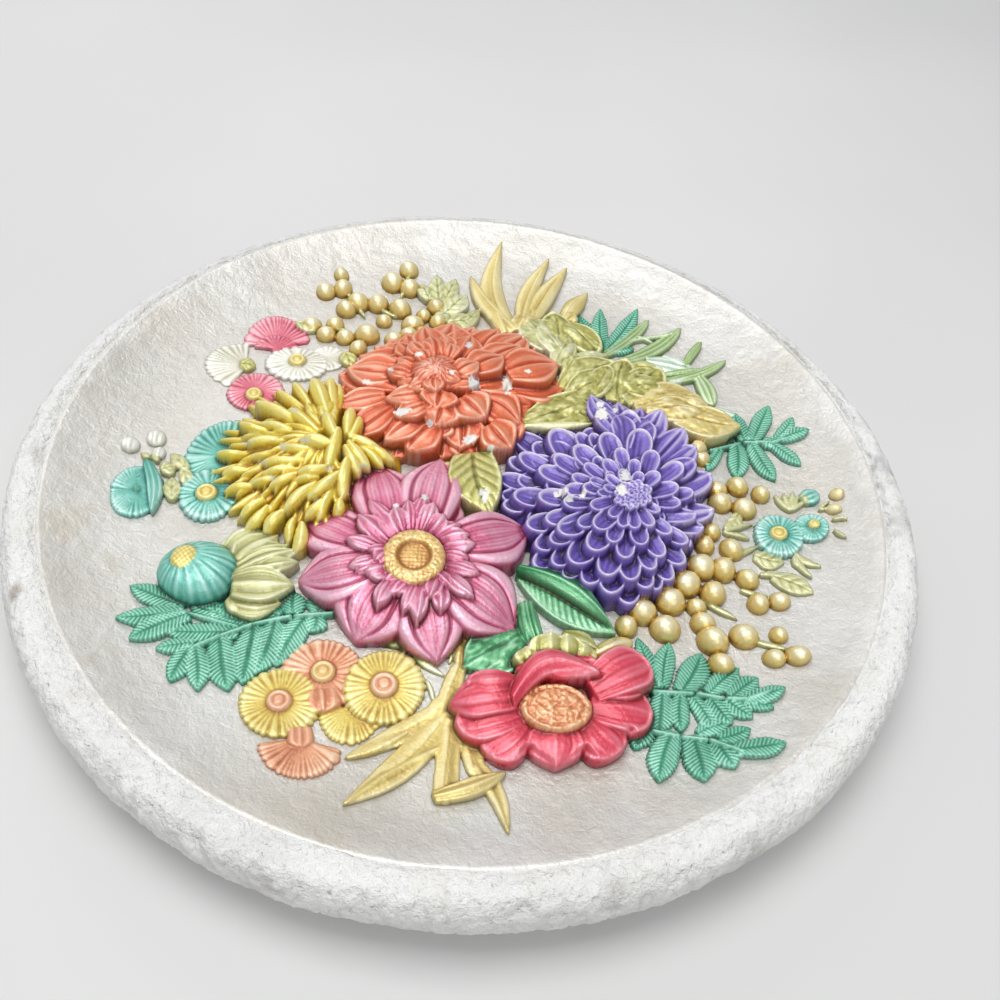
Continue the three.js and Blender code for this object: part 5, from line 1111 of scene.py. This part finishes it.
# painted shade: the top edge of the roll is made greyer
k = (np.clip((SS - 5) / 7.0, 0, 1) * np.clip(np.sin(TT) * 1.4, 0, 1) * (0.3 + 0.2 * vnoise(cx_ / 5, cz_ / 5, PH / 5, 96)))[..., None]     # painted shade: greyer along the top edge
rcol = rcol * (1 - k) + linear((176, 177, 178)) * k
rim = new_mesh("rim", np.column_stack([(RR * np.cos(TT)).ravel(), (RR * np.sin(TT)).ravel(), HH.ravel()]), polar_quads(NP_, NR_)[:, ::-1], rcol.reshape(-1, 3), np.ones(TT.size))
total += 2 * (NP_ - 1) * NR_

# ------------------------------------------------------------------ the flat back
rb = np.array([0.5, 20, 40, 60, 80, 100, 120, 140, 155, 164.3])
RB, TB = np.meshgrid(rb, np.arange(240) / 240 * 2 * math.pi, indexing="ij")
bx_, bz_ = RB * np.cos(TB), RB * np.sin(TB)
bh_ = np.where(RB > 160, 0.0, 0.0) * RB
bcol = linear((214, 208, 194)) * (0.94 + 0.06 * fbm(bx_ / 30, bz_ / 30, 0 * bx_, 3, 95))[..., None]
back = new_mesh("back", np.column_stack([bx_.ravel(), bz_.ravel(), bh_.ravel()]), polar_quads(len(rb), 240), bcol.reshape(-1, 3), np.ones(bx_.size))
total += 2 * 9 * 240
print("triangles in all", total)


# ------------------------------------------------------------------ materials
class Tree:
    """Small helper to wire nodes."""

    def __init__(self, name):
        self.mat = bpy.data.materials.new(name)
        self.mat.use_nodes = True
        self.t = self.mat.node_tree
        self.t.nodes.clear()
        self.out = self.t.nodes.new("ShaderNodeOutputMaterial")
        self.bsdf = self.t.nodes.new("ShaderNodeBsdfPrincipled")
        self.t.links.new(self.bsdf.outputs[0], self.out.inputs["Surface"])
        self.coord = self.t.nodes.new("ShaderNodeTexCoord").outputs["Object"]

    def link(self, a, b):
        self.t.links.new(a, b)

    def node(self, kind, **props):
        n = self.t.nodes.new(kind)
        for k, v in props.items():
            setattr(n, k, v)
        return n

    def noise(self, scale, detail=3.0, rough=0.55, distortion=0.0):
        n = self.node("ShaderNodeTexNoise")
        n.inputs["Scale"].default_value = scale
        n.inputs["Detail"].default_value = detail
        n.inputs["Roughness"].default_value = rough
        n.inputs["Distortion"].default_value = distortion
        self.link(self.coord, n.inputs["Vector"])
        return n.outputs["Fac"]

    def voronoi(self, scale, feature="F1", out="Distance", rnd=1.0):
        n = self.node("ShaderNodeTexVoronoi", feature=feature)
        n.inputs["Scale"].default_value = scale
        n.inputs["Randomness"].default_value = rnd
        self.link(self.coord, n.inputs["Vector"])
        return n.outputs[out]

    def ramp(self, fac, a, b, c0=0.0, c1=1.0):
        n = self.node("ShaderNodeMapRange")
        n.inputs["From Min"].default_value, n.inputs["From Max"].default_value = a, b
        n.inputs["To Min"].default_value, n.inputs["To Max"].default_value = c0, c1
        n.clamp = True
        self.link(fac, n.inputs["Value"])
        return n.outputs["Result"]

    def math(self, op, a, b=None):
        n = self.node("ShaderNodeMath", operation=op)
        for i, v in enumerate((a, b)):
            if v is None:
                continue
            if isinstance(v, (int, float)):
                n.inputs[i].default_value = v
            else:
                self.link(v, n.inputs[i])
        return n.outputs[0]

    def mix(self, fac, a, b, blend="MIX"):
        n = self.node("ShaderNodeMix", data_type="RGBA", blend_type=blend)
        for sock, v in ((n.inputs[0], fac), (n.inputs[6], a), (n.inputs[7], b)):
            if isinstance(v, (int, float)):
                sock.default_value = v
            elif isinstance(v, tuple):
                sock.default_value = (*v, 1.0)
            else:
                self.link(v, sock)
        return n.outputs[2]

    def attribute(self, name, out="Color"):
        n = self.node("ShaderNodeAttribute", attribute_name=name)
        return n.outputs[out]

    def bump(self, height, strength, distance, after=None):
        n = self.node("ShaderNodeBump")
        n.inputs["Strength"].default_value = strength
        n.inputs["Distance"].default_value = distance
        self.link(height, n.inputs["Height"])
        if after is not None:
            self.link(after, n.inputs["Normal"])
        return n.outputs["Normal"]

    def set(self, **v):
        for k, val in v.items():
            self.bsdf.inputs[k.replace("_", " ")].default_value = val


def pearl(name, metallic=0.30, rough=(0.30, 0.46), tint=(1.0, 0.98, 0.95), coat=0.35):
    """Pearly brush paint on cast plaster: fine metallic flake, brush streaks, and chips that are bare and dull."""
    m = Tree(name)
    matte = m.attribute("matte", "Fac")
    streak = m.noise(420.0, 3.0, 0.6, 0.4)
    broad = m.noise(90.0, 2.0, 0.5)
    flake = m.voronoi(2600.0, "F1", "Color")
    col = m.mix(m.ramp(broad, 0.35, 0.7, 0.0, 0.22), m.attribute("Col"), tuple(0.9 * t for t in tint), "OVERLAY")
    col = m.mix(m.ramp(streak, 0.3, 0.75, 0.0, 0.16), col, (0.5, 0.5, 0.5), "SOFT_LIGHT")
    col = m.mix(m.math("MULTIPLY", m.math("SUBTRACT", 1.0, matte), 0.10), col, flake, "SOFT_LIGHT")
    m.link(col, m.bsdf.inputs["Base Color"])
    r = m.ramp(m.noise(160.0, 3.0, 0.6), 0.3, 0.7, rough[0], rough[1])
    r = m.math("ADD", r, m.math("MULTIPLY", matte, 0.35))
    m.link(r, m.bsdf.inputs["Roughness"])
    m.link(m.math("MULTIPLY", m.math("SUBTRACT", 1.0, matte), metallic), m.bsdf.inputs["Metallic"])
    n = m.bump(m.noise(900.0, 4.0, 0.65), 0.5, 0.0003)
    n = m.bump(m.noise(260.0, 4.0, 0.6), 0.5, 0.0008, n)
    m.link(n, m.bsdf.inputs["Normal"])
    m.set(Coat_Weight=coat, Coat_Roughness=0.16, Specular_IOR_Level=0.6)
    return m.mat


def rim_material():
    """Chalky cast plaster under worn white paint: pits, hairline cracks, grey stains and warm scuffs."""
    m = Tree("rim_plaster")
    big, mid, fine = m.noise(26.0, 4.0, 0.6), m.noise(150.0, 5.0, 0.65), m.noise(700.0, 4.0, 0.6)
    pits = m.ramp(m.voronoi(330.0, "F1"), 0.06, 0.24)
    crack = m.ramp(m.voronoi(70.0, "DISTANCE_TO_EDGE"), 0.0, 0.02)
    col = m.mix(m.ramp(big, 0.56, 0.78, 0.0, 0.09), m.attribute("Col"), (0.60, 0.58, 0.55))
    col = m.mix(m.ramp(mid, 0.62, 0.82, 0.0, 0.12), col, (0.55, 0.50, 0.42))
    col = m.mix(m.math("MULTIPLY", m.math("SUBTRACT", 1.0, crack), m.ramp(big, 0.54, 0.66, 0.0, 0.10)), col, (0.40, 0.37, 0.33))
    col = m.mix(m.math("MULTIPLY", m.math("SUBTRACT", 1.0, pits), m.ramp(mid, 0.5, 0.65, 0.0, 0.22)), col, (0.34, 0.31, 0.27))
    m.link(col, m.bsdf.inputs["Base Color"])
    m.link(m.ramp(mid, 0.3, 0.7, 0.62, 0.9), m.bsdf.inputs["Roughness"])
    n = m.bump(fine, 0.6, 0.0007)
    n = m.bump(mid, 1.0, 0.0036, n)
    n = m.bump(pits, 0.4, 0.0008, n)
    m.link(n, m.bsdf.inputs["Normal"])
    m.set(Specular_IOR_Level=0.35)
    return m.mat


def dish_material():
    """Cream pearl wash over a leathery hammered ground, with dark specks."""
    m = Tree("dish_cream")
    leather = m.voronoi(210.0, "SMOOTH_F1")
    grain = m.noise(300.0, 3.0, 0.55, 0.6)
    fine = m.noise(900.0, 3.0, 0.6)
    big = m.noise(22.0, 4.0, 0.6)
    specks = m.ramp(m.voronoi(170.0, "F1"), 0.035, 0.075)
    gate = m.ramp(m.noise(14.0, 2.0, 0.5), 0.50, 0.62)
    col = m.mix(m.ramp(big, 0.40, 0.72, 0.0, 0.35), m.attribute("Col"), (0.60, 0.53, 0.42))
    col = m.mix(m.ramp(grain, 0.55, 0.8, 0.0, 0.22), col, (0.88, 0.87, 0.84))
    col = m.mix(m.math("MULTIPLY", m.math("SUBTRACT", 1.0, specks), m.math("MULTIPLY", gate, 0.55)), col, (0.16, 0.12, 0.08))
    m.link(col, m.bsdf.inputs["Base Color"])
    m.link(m.ramp(grain, 0.3, 0.7, 0.30, 0.46), m.bsdf.inputs["Roughness"])
    n = m.bump(leather, 0.35, 0.0008)
    n = m.bump(grain, 0.5, 0.0011, n)
    n = m.bump(fine, 0.5, 0.0005, n)
    m.link(n, m.bsdf.inputs["Normal"])
    m.set(Metallic=0.24, Coat_Weight=0.7, Coat_Roughness=0.24, Specular_IOR_Level=0.65)
    return m.mat


def back_material():
    """Bare plaster, screeded flat, a little dusty."""
    m = Tree("back_plaster")
    big, fine = m.noise(18.0, 4.0, 0.6), m.noise(420.0, 4.0, 0.6)
    pits = m.ramp(m.voronoi(120.0, "F1"), 0.05, 0.12)
    col = m.mix(m.ramp(big, 0.4, 0.7, 0.0, 0.4), m.attribute("Col"), (0.52, 0.48, 0.40))
    col = m.mix(m.math("MULTIPLY", m.math("SUBTRACT", 1.0, pits), 0.5), col, (0.32, 0.29, 0.24))
    m.link(col, m.bsdf.inputs["Base Color"])
    m.link(m.ramp(big, 0.3, 0.7, 0.75, 0.92), m.bsdf.inputs["Roughness"])
    n = m.bump(fine, 0.4, 0.0006)
    n = m.bump(pits, 0.4, 0.0008, n)
    m.link(n, m.bsdf.inputs["Normal"])
    m.set(Specular_IOR_Level=0.3)
    return m.mat


MATS = {"dish": dish_material(), "rim": rim_material(), "back": back_material()}
SHEEN = {"orange_dahlia": (0.28, (0.32, 0.46)), "purple_dahlia": (0.22, (0.34, 0.50)), "pink_dahlia": (0.36, (0.26, 0.40)), "yellow_flower": (0.30, (0.28, 0.42)),
         "red_flower": (0.28, (0.28, 0.42)), "leaves": (0.35, (0.26, 0.40)), "gold_leaves": (0.40, (0.30, 0.44)), "ferns_left": (0.22, (0.34, 0.5)), "ferns_right": (0.22, (0.34, 0.5)),
         "daisies_left": (0.25, (0.30, 0.46)), "daisies_low": (0.25, (0.30, 0.46)), "daisies_right": (0.25, (0.30, 0.46)), "berries_right": (0.42, (0.26, 0.38)), "berries_top": (0.42, (0.26, 0.38)),
         "top_leaves": (0.32, (0.30, 0.46))}
for o in made:
    if o.name not in MATS:
        MATS[o.name] = pearl("pearl_" + o.name, *SHEEN[o.name])
    o.data.materials.append(MATS[o.name])
    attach(o, "root")
    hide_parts("plaque")

# ------------------------------------------------------------------ wall, light and world
wall_me = bpy.data.meshes.new("wall")
S, D, HOLE, NW = 6.0, 0.0006, 0.158, 96                   # open behind the flat back, which covers the hole and gets its light through it
ring_ = [(math.cos(2 * math.pi * (k + 0.5) / NW), math.sin(2 * math.pi * (k + 0.5) / NW)) for k in range(NW)]
wall_me.from_pydata([(HOLE * c_, D, HOLE * q_) for c_, q_ in ring_] + [(S * c_ / max(abs(c_), abs(q_)), D, S * q_ / max(abs(c_), abs(q_))) for c_, q_ in ring_], [],
                    [(k, NW + k, NW + (k + 1) % NW, (k + 1) % NW) for k in range(NW)])
wall = bpy.data.objects.new("wall", wall_me)
bpy.context.scene.collection.objects.link(wall)
wm = Tree("wall_pale")
wm.link(wm.mix(wm.ramp(wm.noise(3.0, 2.0, 0.5), 0.35, 0.65), (0.66, 0.66, 0.65), (0.70, 0.70, 0.69)), wm.bsdf.inputs["Base Color"])
wm.set(Roughness=0.85, Specular_IOR_Level=0.2)
through = wm.node("ShaderNodeBsdfTransparent")
geo = wm.node("ShaderNodeNewGeometry")
mixer = wm.node("ShaderNodeMixShader")
wm.link(geo.outputs["Backfacing"], mixer.inputs[0])
wm.link(wm.bsdf.outputs[0], mixer.inputs[1])
wm.link(through.outputs[0], mixer.inputs[2])
wm.link(mixer.outputs[0], wm.out.inputs["Surface"])
wall_me.materials.append(wm.mat)


def area(name, at, to, w, h, energy, colour=(1, 1, 1)):
    d = bpy.data.lights.new(name, "AREA")
    d.shape, d.size, d.size_y, d.energy, d.color = "RECTANGLE", w, h, energy, colour
    o = bpy.data.objects.new(name, d)
    o.location = at
    o.rotation_mode = "QUATERNION"
    o.rotation_quaternion = (Vector(to) - Vector(at)).to_track_quat("-Z", "Y")
    bpy.context.scene.collection.objects.link(o)
    return o


area("overhead", (-0.15, -1.45, 0.12), (0.0, 0.0, 0.0), 1.0, 0.8, 13.5)
area("front_low", (0.2, -1.2, -0.95), (0.0, 0.0, 0.0), 1.2, 0.5, 4.5)
area("window", (-0.35, -0.9, 1.1), (0.0, 0.0, 0.05), 0.9, 0.5, 2.6)
world = bpy.data.worlds.new("world")
world.use_nodes = True
bg = world.node_tree.nodes.get("Background") or world.node_tree.nodes.new("ShaderNodeBackground")
bg.inputs[0].default_value = (0.86, 0.88, 0.90, 1)
bg.inputs[1].default_value = 0.42
bpy.context.scene.world = world
bpy.context.scene.view_settings.view_transform = "Standard"
